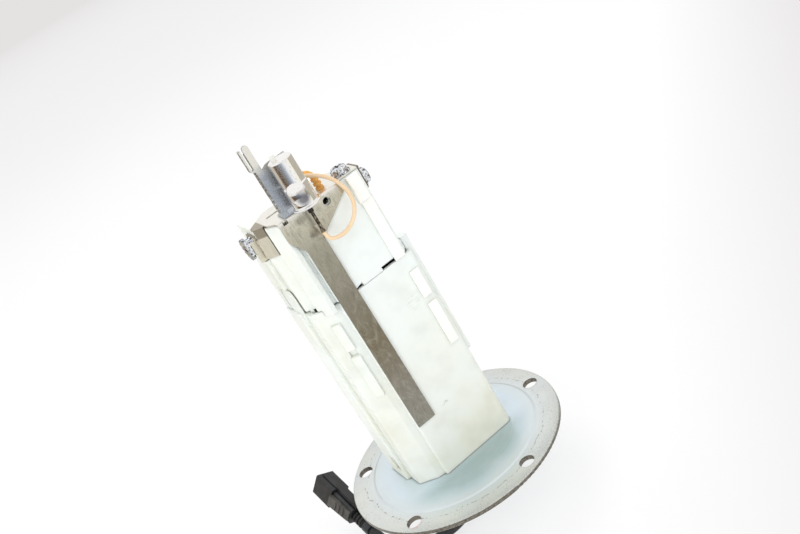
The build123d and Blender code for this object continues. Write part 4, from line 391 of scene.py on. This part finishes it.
def zinc_flange(colours):
    """Zinc plate on steel, passivated bluish: satin from handling, so it mirrors the housing
    only softly, with fine turning rings, and grit bitten in near the rim."""
    material, tree, shader, place = blank_material("zinc_passivated_flange")
    flat = add(tree, "VectorMath", {0: place, 1: (1, 1, 0)}, operation="MULTIPLY").outputs[0]
    radius = distance(tree, flat)
    clouds = noise(tree, place, 17, Detail=4.0)
    wobble = between(tree, clouds, 0.3, 0.7, -1.5 * MM, 1.5 * MM)
    ring = add(tree, "Math", {0: radius, 1: wobble}, operation="ADD").outputs[0]
    turned = {"W": radius, "Scale": per_mm(1.1), "Detail": 4.0}
    wiped = add(tree, "TexNoise", turned, noise_dimensions="1D").outputs["Fac"]
    colour = mixed(tree, across(tree, ring, ZINC_HANDLED), colours.zinc, colours.zinc_dull)
    # painted shade: darker before the housing, where the zinc mirrors the housing's shaded front
    front = across(tree, along(tree, place, 1), ZINC_FRONT)
    shaded = times(tree, front, across(tree, ring, ZINC_SHADED, 0.0, 0.85))
    colour = mixed(tree, shaded, colour, linear("#AEC3C6"))
    colour = mixed(tree, between(tree, clouds, 0.4, 0.7, 0.0, 0.4), colour, linear("#D3DCE4"))
    colour = mixed(tree, between(tree, wiped, 0.5, 0.75, 0.0, 0.16), colour, linear("#EEF1F2"))
    grit = noise(tree, place, 0.9, Detail=6.0, Roughness=0.8)
    spread = between(tree, noise(tree, place, 7, Detail=5.0), 0.4, 0.62)
    dirty = times(tree, across(tree, ring, ZINC_GRITTY), spread)
    dirty = times(tree, dirty, between(tree, grit, 0.52, 0.64, 0.0, 0.85))
    facing_front = across(tree, along(tree, place, 1), RIM_FRONT, 0.1, 1.0)
    rough_edge = times(tree, across(tree, ring, RIM_BITTEN), facing_front)
    pits = noise(tree, place, 0.45, Detail=5.0, Roughness=0.75)
    dirty = larger(tree, dirty, times(tree, rough_edge, between(tree, pits, 0.45, 0.62, 0.0, 0.6)))
    line = times(tree, across(tree, ring, GASKET_LINE_IN), across(tree, ring, GASKET_LINE_OUT))
    gaps = between(tree, noise(tree, place, 1.6, Detail=4.0), 0.5, 0.58, 0.0, 0.7)
    dirty = larger(tree, dirty, times(tree, line, gaps))
    # the rim's sideways faces take a darker tone, speckled by grit
    rim = between(tree, unsigned(tree, facing(tree, 2)), 0.7, 0.4)
    worn = mixed(tree, between(tree, grit, 0.4, 0.62), linear("#8F8A7E"), linear("#4E4A42"))
    colour = mixed(tree, rim, mixed(tree, dirty, colour, linear("#77705F")), worn)
    for spot in PINK_MARKS:
        share = times(tree, within(tree, place, spot, PINK_REACH), between(tree, grit, 0.4, 0.6, 0.2, 0.7))
        colour = mixed(tree, share, colour, linear("#E7A9B4"))
    # painted shade: dark contact lines where the housing and other parts stand on the flange
    colour = mixed(tree, times(tree, painted_corner_shade(tree, 1.6, 0.4, 0.85), 0.75), colour, linear("#3E403C"))
    feed(tree, shader, Base_Color=colour, Metallic=0.75)
    feed(tree, shader, Roughness=between(tree, wiped, 0.3, 0.7, 0.36, 0.46))
    feed(tree, shader, Normal=bumped(tree, grit, 0.012, rounded=0.8))
    return material


def rolled_stainless(colours):
    """Cold-rolled stainless sheet, stained by fuel: dull, with faint swirls, a painted reflection
    that pales it upwards, a painted highlight on the fold, painted shade by the dimple and
    under the can, and brown at the left tab's bend and along its right edge."""
    material, tree, shader, place = blank_material("cold_rolled_stainless")
    height = along(tree, place, 2)
    # stain lower down, and a painted reflection that pales it upwards, by height
    colour = ramp(tree, across(tree, height, STRAP_RISE), STRAP_STAIN_AND_REFLECTION_TONES)
    grain = noise(tree, place, 0.45, (1, 1, 0.45), Detail=5.0, Roughness=0.7)
    swirls = noise(tree, place, 5.5, (1.0, 1.0, 0.6), Detail=5.0, Distortion=2.6)
    colour = mixed(tree, between(tree, swirls, 0.48, 0.7, 0.0, 0.42), colour, linear("#BDB9AA"))
    streaks = noise(tree, place, 1.3, (1.0, 1.0, 0.22), Detail=5.0, Distortion=0.8)
    colour = mixed(tree, between(tree, streaks, 0.52, 0.72, 0.0, 0.4), colour, linear("#6E675A"))
    colour = mixed(tree, between(tree, grain, 0.5, 0.75, 0.0, 0.45), colour, colours.strap)
    # painted highlight along the fold
    colour = mixed(tree, across(tree, height, STRAP_FOLD, 0.0, 0.8), colour, linear("#F6F3EC"))
    # painted shade beside the dimple and under the can
    for spot, reach, depth in STRAP_PAINTED_SHADE:
        share = times(tree, within(tree, place, spot, reach), between(tree, streaks, 0.3, 0.6, depth, 1.0))
        colour = mixed(tree, times(tree, share, depth), colour, linear("#594E40"))
    side = along(tree, place, 0)
    left = across(tree, side, STRAP_LEFT_TAB)
    colour = mixed(tree, left, colour, mixed(tree, grain, linear("#E9E4D3"), linear("#CFC8B2")))
    bent = times(tree, left, across(tree, height, STRAP_TAB_BEND, 0.0, 0.7))
    right = across(tree, side, STRAP_RIGHT_EDGE, 0.0, 0.9)
    colour = mixed(tree, larger(tree, bent, right), colour, linear("#6C5D4A"))
    # painted shade: dark lines where the lip bends and round parts standing close
    colour = mixed(tree, times(tree, painted_corner_shade(tree, 1.4, 0.35, 0.8), 0.75), colour, linear("#4E463A"))
    feed(tree, shader, Base_Color=colour, Metallic=between(tree, left, 0.0, 1.0, 1.0, 0.4))
    feed(tree, shader, Roughness=between(tree, swirls, 0.3, 0.7, 0.32, 0.44))
    feed(tree, shader, Normal=bumped(tree, grain, 0.006))
    return material


def galvanised_sheet(colours):
    """Hot-dip galvanised sheet: fine zinc crystals that each catch the light their own way,
    and a painted highlight that whitens the top of the arm.
    """
    material, tree, shader, place = blank_material("galvanised_sheet")
    crystals = add(tree, "TexVoronoi", {"Vector": place, "Scale": per_mm(0.32)})
    shade = add(tree, "SeparateColor", {0: crystals.outputs["Color"]}).outputs
    pale = between(tree, shade[0], 0.0, 1.0, 0.0, 0.45)
    colour = mixed(tree, pale, colours.galvanised, linear("#CDD2D6"))
    colour = mixed(tree, between(tree, shade[1], 0.86, 0.96, 0.0, 0.35), colour, linear("#6C727A"))
    height = along(tree, place, 2)
    sheared = between(tree, unsigned(tree, facing(tree, 1)), 0.6, 0.3)
    upright = across(tree, height, PLATE_UPRIGHT)
    burrs = between(tree, noise(tree, place, 0.7, Detail=4.0), 0.5, 0.6)
    sheared_colour = mixed(tree, burrs, linear("#4A4542"), linear("#DEDCD6"))
    # painted highlight: the top of the arm is made near white
    colour = mixed(tree, across(tree, height, PLATE_ARM), colour, linear("#F1EFE5"))
    colour = mixed(tree, times(tree, sheared, upright), colour, sheared_colour)
    feed(tree, shader, Base_Color=colour, Metallic=1.0)
    feed(tree, shader, Roughness=between(tree, shade[2], 0.0, 1.0, 0.25, 0.45))
    feed(tree, shader, Normal=bumped(tree, shade[0], 0.006, 0.5))
    return material


def chromed_can(colours):
    """Drawn brass can, chromed: mirror bright, slightly wavy from the drawing, lightly scuffed,
    with a painted dark reflection low on the dome.
    """
    material, tree, shader, place = blank_material("chromed_drawn_can")
    waves = noise(tree, place, 4, (1, 1, 0.3), Detail=2.0)
    scuffs = noise(tree, place, 0.5, (1, 1, 0.3), Detail=5.0)
    colour = mixed(tree, between(tree, scuffs, 0.55, 0.75, 0.0, 0.35), colours.chrome, linear("#B6AE9E"))
    # painted reflection: the dome's lower side is darkened, as if it mirrored dark surroundings
    painted_dome_reflection = times(tree, within(tree, place, *DOME_PAINTED_REFLECTION), 0.85)
    colour = mixed(tree, painted_dome_reflection, colour, linear("#5F606A"))
    feed(tree, shader, Base_Color=colour, Metallic=1.0)
    feed(tree, shader, Roughness=between(tree, scuffs, 0.4, 0.7, 0.1, 0.2))
    feed(tree, shader, Normal=bumped(tree, waves, 0.02))
    return material


def plated(name, light, dark, grit, low, high):
    """Small metal piece, plated or ground: bright, with darker worn spots of grit millimetres."""
    material, tree, shader, place = blank_material(name)
    wear = noise(tree, place, grit, Detail=5.0)
    colour = mixed(tree, between(tree, wear, 0.42, 0.68), linear(light), linear(dark))
    feed(tree, shader, Base_Color=colour, Metallic=1.0)
    feed(tree, shader, Roughness=between(tree, wear, 0.3, 0.7, low, high), Normal=bumped(tree, wear, 0.01))
    return material


def moulded(name, colour, dusty, grit, rough, depth=0.01, share=0.35):
    """Moulded plastic or rubber: even, with a fine tool texture and a little pale dust."""
    material, tree, shader, place = blank_material(name)
    grain = noise(tree, place, grit, Detail=3.0)
    dust = noise(tree, place, 5, Detail=5.0)
    tone = mixed(tree, between(tree, dust, 0.45, 0.75, 0.0, share), colour, linear(dusty))
    satin = between(tree, dust, 0.3, 0.7, rough - 0.06, rough + 0.1)
    feed(tree, shader, Base_Color=tone, Roughness=satin, IOR=1.5, Normal=bumped(tree, grain, depth))
    return material


def crimped_sleeve():
    """Heat-shrunk sleeve over the crimped pin: glossy black above, and below it is stretched
    thin, so brown metal shows through, with pale painted glints down to the bright crimp."""
    material, tree, shader, place = blank_material("shrunk_sleeve")
    drop = across(tree, along(tree, place, 2), SLEEVE_FALL)
    glint = between(tree, noise(tree, place, 0.8, (1, 1, 0.5), Detail=4.0), 0.46, 0.62)
    share = times(tree, glint, between(tree, drop, 0.2, 0.8, 0.0, 0.9))
    # painted highlights: pale spots where the metal would glint
    colour = mixed(tree, share, ramp(tree, drop, SLEEVE_TONES), linear("#CFC5B2"))
    feed(tree, shader, Base_Color=colour, Metallic=between(tree, drop, 0.2, 0.6))
    feed(tree, shader, Roughness=0.28, IOR=1.5, Normal=bumped(tree, glint, 0.03))
    return material


def studio_white():
    """Paper floor: white to the eye, with a painted fall-off of light that greys it far off and
    towards the near right, and it keeps the object's soft shadow."""
    material, tree, shader, place = blank_material("studio_floor_paper")
    feed(tree, shader, Base_Color=linear("#F4F4F5"), Roughness=0.9)
    far = between(tree, distance(tree, place), *FAR_FLOOR)
    sides = {0: along(tree, place, 0), 1: along(tree, place, 1)}
    rightward = add(tree, "Math", sides, operation="SUBTRACT").outputs[0]
    share = larger(tree, far, between(tree, rightward, *NEAR_RIGHT, 0.0, 0.9))
    # painted fall-off of light: the floor's glow greys far off and towards the near right
    shade = mixed(tree, share, linear("#FFFFFF"), linear(FAR_GREY))
    glow = even_light(tree, "Emission", shade)
    seen = times(tree, seen_by_eye(tree), between(tree, share, 0.0, 1.0, *FLOOR_LIT))
    blend = add(tree, "MixShader", {0: seen, 1: shader.outputs[0], 2: glow}).outputs[0]
    tree.links.new(blend, tree.nodes["Material Output"].inputs["Surface"])
    return material


def seen_by_eye(tree):
    """1 for rays from the camera, and for those that it sees in metal or through glass."""
    path = add(tree, "LightPath").outputs
    direct = larger(tree, path["Is Camera Ray"], path["Is Glossy Ray"])
    return larger(tree, direct, path["Is Transmission Ray"])


# ------------------------------------------------------------------ meshes
def dress(material, *names):
    """Gives CAD nodes a material."""
    for name in names:
        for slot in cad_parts[name].material_slots:
            slot.material = material


def mesh_of(name, bm, material):
    """Mesh of the faces that were drawn, in one material."""
    mesh = bpy.data.meshes.new(name)
    bm.to_mesh(mesh)
    bm.free()
    mesh.materials.append(material)
    return mesh


def placed(name, data):
    """Object of a mesh, curve, camera or lamp, put into the scene."""
    item = bpy.data.objects.new(name, data)
    bpy.context.scene.collection.objects.link(item)
    return item


def piece_from(name, bm, material, node):
    """Mesh piece that rides on the module and stands for a CAD node."""
    bmesh.ops.recalc_face_normals(bm, faces=bm.faces)
    mesh = mesh_of(name, bm, material)
    mesh.shade_smooth()
    mesh.set_sharp_from_angle(angle=math.radians(SHARP_FROM))
    return settle(placed(name, mesh), node)


def steps(low, high, size):
    """Even steps from low to high, no longer than size."""
    count = math.ceil((high - low) / size)
    return [low + (high - low) * i / count for i in range(count + 1)]


def bend(x, z, radius, start, end, parts=8):
    """Profile points on an arc round (x, z), between two angles."""
    angles = [math.radians(start + (end - start) * i / parts) for i in range(parts + 1)]
    return [(x + radius * math.cos(a), z + radius * math.sin(a)) for a in angles]


def lathe(bm, profile, at, sides):
    """Turns a profile of radius and height, in mm, about an upright axis."""
    rings = []
    for radius, height in profile:
        ring = []
        for turn in [2 * math.pi * i / sides for i in range(sides if radius else 1)]:
            x, y = at[0] + radius * math.cos(turn), at[1] + radius * math.sin(turn)
            ring.append(bm.verts.new((x * MM, y * MM, height * MM)))
        rings.append(ring)
    for low, high in zip(rings, rings[1:]):
        for i in range(sides):
            j = (i + 1) % sides
            face = [low[i % len(low)], low[j % len(low)], high[j % len(high)], high[i % len(high)]]
            face = list(dict.fromkeys(face))
            if len(face) > 2:
                bm.faces.new(face)
    bmesh.ops.remove_doubles(bm, verts=bm.verts, dist=1e-7)


def settle(piece, node):
    """The piece rides on the module and hides its CAD node."""
    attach(piece, BODY)
    if node:
        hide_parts(node)
    return piece


def cord_curve(name, route, diameter, material, node):
    """Round cord on a smooth curve through the space of its route."""
    curve = bpy.data.curves.new(name, "CURVE")
    curve.dimensions = "3D"
    spline = curve.splines.new("NURBS")
    spline.points.add(len(route) - 1)
    for point, spot in zip(spline.points, route):
        point.co = (*[v * MM for v in spot], 1.0)
    spline.order_u = CORD_ORDER
    spline.use_endpoint_u = True
    spline.resolution_u = CORD_STEPS
    curve.bevel_depth = diameter / 2
    curve.bevel_resolution = CORD_ROUNDING
    curve.use_fill_caps = True
    curve.materials.append(material)
    return settle(placed(name, curve), node)


# ---------------------------------------------------------------- settings
def shade_of(name, what, code):
    """Colour setting with its default as an sRGB code."""
    return bpy.props.FloatVectorProperty(
        name=name, description=what, subtype="COLOR", size=4, min=0, max=1, default=linear(code))


class PumpColours(bpy.types.PropertyGroup):
    """Colours that a user would change."""
    acetal: shade_of("Housing", "Natural acetal of the housings", "#EEF4F2")
    acetal_aged: shade_of("Housing, aged", "Where fuel has yellowed the acetal", "#E8E6CF")
    zinc: shade_of("Flange", "Bluish zinc plate of the flange", "#DBE8F0")
    zinc_dull: shade_of("Flange, outer", "Handled zinc outside the seal", "#DBDDD8")
    strap: shade_of("Strap", "Stained stainless sheet of the strap", "#6F695A")
    galvanised: shade_of("Sensor plate", "Galvanised sheet of the sensor's plate", "#A4AAB2")
    chrome: shade_of("Sensor can", "Chrome of the sensor's can", "#F5F3F0")
    wire: shade_of("Sensor wire", "Insulation of the sensor's wire", "#F1D3AC")
    boot: shade_of("Boot", "Silicone of the ribbed boot", "#F2B75C")
    sheath: shade_of("Lead and connector", "Black of the lead and its connector", "#1D1E1F")


class PumpSizes(bpy.types.PropertyGroup):
    """Sizes that a user would change."""
    lead: bpy.props.FloatProperty(
        name="Lead", description="Diameter of the power lead", default=4.6 * MM, unit="LENGTH")
    wire: bpy.props.FloatProperty(
        name="Sensor wire", description="Diameter of the sensor's wire", default=1.7 * MM, unit="LENGTH")


# --------------------------------------------------------------- operators
class FUELPUMP_OT_stage(bpy.types.Operator):
    """Camera, soft lamps and a plain pale floor"""
    bl_idname = "fuel_pump.stage"
    bl_label = "Stage"

    def execute(self, context):
        data = bpy.data.cameras.new("camera")
        data.lens, data.sensor_width = CAMERA_LENS, CAMERA_SENSOR
        data.clip_start, data.clip_end = CAMERA_CLIP
        camera = placed("camera", data)
        back = CAMERA_RIGHT.cross(CAMERA_UP)
        turn = Matrix((CAMERA_RIGHT, CAMERA_UP, back)).transposed()
        camera.matrix_world = Matrix.Translation(CAMERA_AT) @ turn.to_4x4()
        context.scene.camera = camera
        context.scene.view_settings.view_transform = "Standard"
        self.world(context)
        self.floor()
        for name, at, power in LAMPS:
            self.lamp(name, at, power)
        self.cards()
        return {"FINISHED"}

    def world(self, context):
        """White to the eye, softer as light on the object."""
        world = bpy.data.worlds.new("studio_air")
        world.use_nodes = True
        tree = world.node_tree
        light = even_light(tree, "Background", linear("#FFFFFF"), WORLD_LIGHT)
        white = even_light(tree, "Background", linear("#FFFFFF"))
        grey = even_light(tree, "Background", linear(FAR_GREY))
        blend = add(tree, "MixShader", {0: seen_by_eye(tree), 1: light, 2: white}).outputs[0]
        camera = add(tree, "LightPath").outputs["Is Camera Ray"]
        blend = add(tree, "MixShader", {0: camera, 1: blend, 2: grey}).outputs[0]
        tree.links.new(blend, tree.nodes["World Output"].inputs["Surface"])
        context.scene.world = world

    def floor(self):
        """Wide pale floor a little below the lead."""
        bm = bmesh.new()
        bmesh.ops.create_circle(bm, cap_ends=True, radius=FLOOR_RADIUS, segments=64)
        floor = placed("floor", mesh_of("floor", bm, studio_white()))
        floor.location.z = CAD_BOX[0][2] - FLOOR_DROP

    def lamp(self, name, at, power):
        """Square soft lamp that faces the middle of the module, and that metal doesn't mirror."""
        data = bpy.data.lights.new(name, "AREA")
        data.shape, data.size, data.energy = "SQUARE", LAMP_SIZE, power
        lamp = placed(name, data)
        lamp.location = at
        lamp.rotation_euler = (Vector(LAMP_AIM) - Vector(at)).to_track_quat("-Z", "Y").to_euler()
        lamp.visible_glossy = False

    def cards(self):
        """Low ring of tinted cards that only polished metal sees."""
        bm = bmesh.new()
        base = CAD_BOX[0][2] - CARD_DROP
        bmesh.ops.create_circle(bm, radius=CARD_RADIUS, segments=96)
        bmesh.ops.translate(bm, verts=bm.verts, vec=(0, 0, base))
        walls = bmesh.ops.extrude_edge_only(bm, edges=bm.edges[:])["geom"]
        high = [v for v in walls if isinstance(v, bmesh.types.BMVert)]
        bmesh.ops.translate(bm, verts=high, vec=(0, 0, CARD_TOP - base))
        material, tree, _, place = blank_material("tinted_cards")
        turn = add(tree, "TexGradient", {"Vector": place}, gradient_type="RADIAL").outputs["Fac"]
        glow = even_light(tree, "Emission", ramp(tree, turn, CARD_TINTS))
        tree.links.new(glow, tree.nodes["Material Output"].inputs["Surface"])
        ring = placed("card_ring", mesh_of("card_ring", bm, material))
        ring.location = (CAN_AXIS[0] * MM, CAN_AXIS[1] * MM, 0)
        for ray in ("camera", "diffuse", "shadow", "transmission", "volume_scatter"):
            setattr(ring, "visible_" + ray, False)


class FUELPUMP_OT_sensor_can(bpy.types.Operator):
    """Drawn can of the low-fuel sensor, with its rolled lip, pressed dome and vent tag"""
    bl_idname = "fuel_pump.sensor_can"
    bl_label = "Sensor can"

    def execute(self, context):
        bm = bmesh.new()
        wall = [(CAN_RADIUS, z) for z in steps(WALL_FOOT, CAN_STEP - STEP_HALF, WALL_STEP)]
        neck = [(CAN_NECK, z) for z in steps(CAN_STEP + STEP_HALF, CAN_TOP - CROWN_ROUND, WALL_STEP)]
        crown = bend(CAN_NECK - CROWN_ROUND, CAN_TOP - CROWN_ROUND, CROWN_ROUND, 0, 90)
        lip = bend(CAN_LIP - LIP_ROUND, CAN_BOTTOM + LIP_ROUND, LIP_ROUND, -90, 90)
        flare = [(CAN_RADIUS + WALL_FLARE[0], CAN_BOTTOM + WALL_FLARE[1])]
        bore, ceiling = CAN_NECK - CAN_WALL, CAN_TOP - CAN_WALL
        inside = [(0, ceiling), (bore, ceiling), (bore, CAN_BOTTOM)]
        shape = lip + flare + wall + neck + crown + [(0, CAN_TOP)] + inside
        lathe(bm, shape + lip[:1], CAN_AXIS, CAN_SIDES)
        self.press_dome(bm)
        piece_from("sensor_can_shell", bm, chromed_can(context.scene.pump_colours), "sensor_can")
        self.vent_tag(moulded("vent_tag_nylon", linear("#F4F3EE"), "#E6E2DA", 0.5, 0.4))
        return {"FINISHED"}

    def press_dome(self, bm):
        """Raises the wall in a round dome pressed out from inside."""
        for vert in bm.verts:
            x, y = vert.co.x / MM - CAN_AXIS[0], vert.co.y / MM - CAN_AXIS[1]
            reach = math.hypot(x, y)
            on_wall = CAN_NECK - DOME_SLACK <= reach <= CAN_RADIUS + DOME_SLACK
            if not on_wall or vert.co.z < DOME_LEAST * MM:
                continue
            turn = math.remainder(math.atan2(y, x) - math.radians(DOME_ANGLE), 2 * math.pi)
            share = math.hypot(turn * CAN_RADIUS, vert.co.z / MM - DOME_HEIGHT) / DOME_RADIUS
            if share < 1:
                out = (CAN_RADIUS + DOME_RISE * (1 - share ** 2)) / reach
                vert.co.x = (CAN_AXIS[0] + x * out) * MM
                vert.co.y = (CAN_AXIS[1] + y * out) * MM

    def vent_tag(self, material):
        """Small upright tag on the can's crown."""
        bm = bmesh.new()
        bmesh.ops.create_cube(bm, size=1.0)
        bmesh.ops.scale(bm, verts=bm.verts, vec=[v * MM for v in TAG_SIZE])
        bmesh.ops.bevel(bm, geom=bm.edges[:], offset=TAG_ROUND * MM, segments=2, affect="EDGES")
        bmesh.ops.translate(bm, verts=bm.verts, vec=[v * MM for v in TAG_AT])
        piece_from("sensor_vent_tag", bm, material, "sensor_can")


class FUELPUMP_OT_cords(bpy.types.Operator):
    """Power lead to the connector, and the wire loop of the sensor"""
    bl_idname = "fuel_pump.cords"
    bl_label = "Power lead and sensor wire"

    def execute(self, context):
        colours, sizes = context.scene.pump_colours, context.scene.pump_sizes
        sheath = moulded("pvc_sheath_extruded", colours.sheath, "#5B5A58", 0.4, 0.42)
        lead = cord_curve("power_lead_sheath", LEAD_ROUTE, sizes.lead, sheath, "power_lead")
        skin = moulded("pvc_insulation_extruded", colours.wire, "#F8E6D0", 0.5, 0.35)
        wire = cord_curve("sensor_wire_skin", WIRE_ROUTE, sizes.wire, skin, "sensor_wire")
        return {"FINISHED"}


class FUELPUMP_OT_finishes(bpy.types.Operator):
    """Finishes of the pieces that keep their own shape"""
    bl_idname = "fuel_pump.finishes"
    bl_label = "Finishes"

    def execute(self, context):
        colours = context.scene.pump_colours
        dress(natural_acetal(colours), "lower_housing", "upper_housing")
        dress(zinc_flange(colours), "flange_plate")
        dress(rolled_stainless(colours), "strap_bracket", "base_bracket")
        dress(galvanised_sheet(colours), "sensor_bracket")
        dress(crimped_sleeve(), "sensor_sleeve")
        dress(moulded("silicone_boot", colours.boot, "#F4BE74", 0.5, 0.4), "sensor_boot")
        dress(moulded("glass_filled_nylon", colours.sheath, "#55565A", 0.35, 0.38, 0.02, 0.25),
              "connector_housing", "sensor_base")
        for name, light, dark, grit, low, high, pieces in METALS:
            dress(plated(name, light, dark, grit, low, high), *pieces)
        for name, code, dusty, grit, rough, pieces in MOULDINGS:
            dress(moulded(name, linear(code), dusty, grit, rough), *pieces)
        return {"FINISHED"}


class FUELPUMP_PT_parts(bpy.types.Panel):
    """Panel that lists the module's groups of pieces"""
    bl_idname = "FUELPUMP_PT_parts"
    bl_label = "Fuel pump"
    bl_space_type = "VIEW_3D"
    bl_region_type = "UI"
    bl_category = "Fuel pump"

    def draw(self, context):
        for group in (context.scene.pump_sizes, context.scene.pump_colours):
            column = self.layout.column()
            for name in group.__annotations__:
                column.prop(group, name)
        for operator in OPERATORS:
            self.layout.operator(operator.bl_idname)


OPERATORS = (FUELPUMP_OT_stage, FUELPUMP_OT_cords, FUELPUMP_OT_sensor_can, FUELPUMP_OT_finishes)
CLASSES = (PumpColours, PumpSizes, *OPERATORS, FUELPUMP_PT_parts)


def register():
    for kind in CLASSES:
        bpy.utils.register_class(kind)
    bpy.types.Scene.pump_colours = bpy.props.PointerProperty(type=PumpColours)
    bpy.types.Scene.pump_sizes = bpy.props.PointerProperty(type=PumpSizes)


def unregister():
    del bpy.types.Scene.pump_sizes
    del bpy.types.Scene.pump_colours
    for kind in reversed(CLASSES):
        bpy.utils.unregister_class(kind)


def main():
    register()
    bpy.ops.fuel_pump.stage()
    bpy.ops.fuel_pump.cords()
    bpy.ops.fuel_pump.sensor_can()
    bpy.ops.fuel_pump.finishes()


if __name__ == "__main__":
    main()
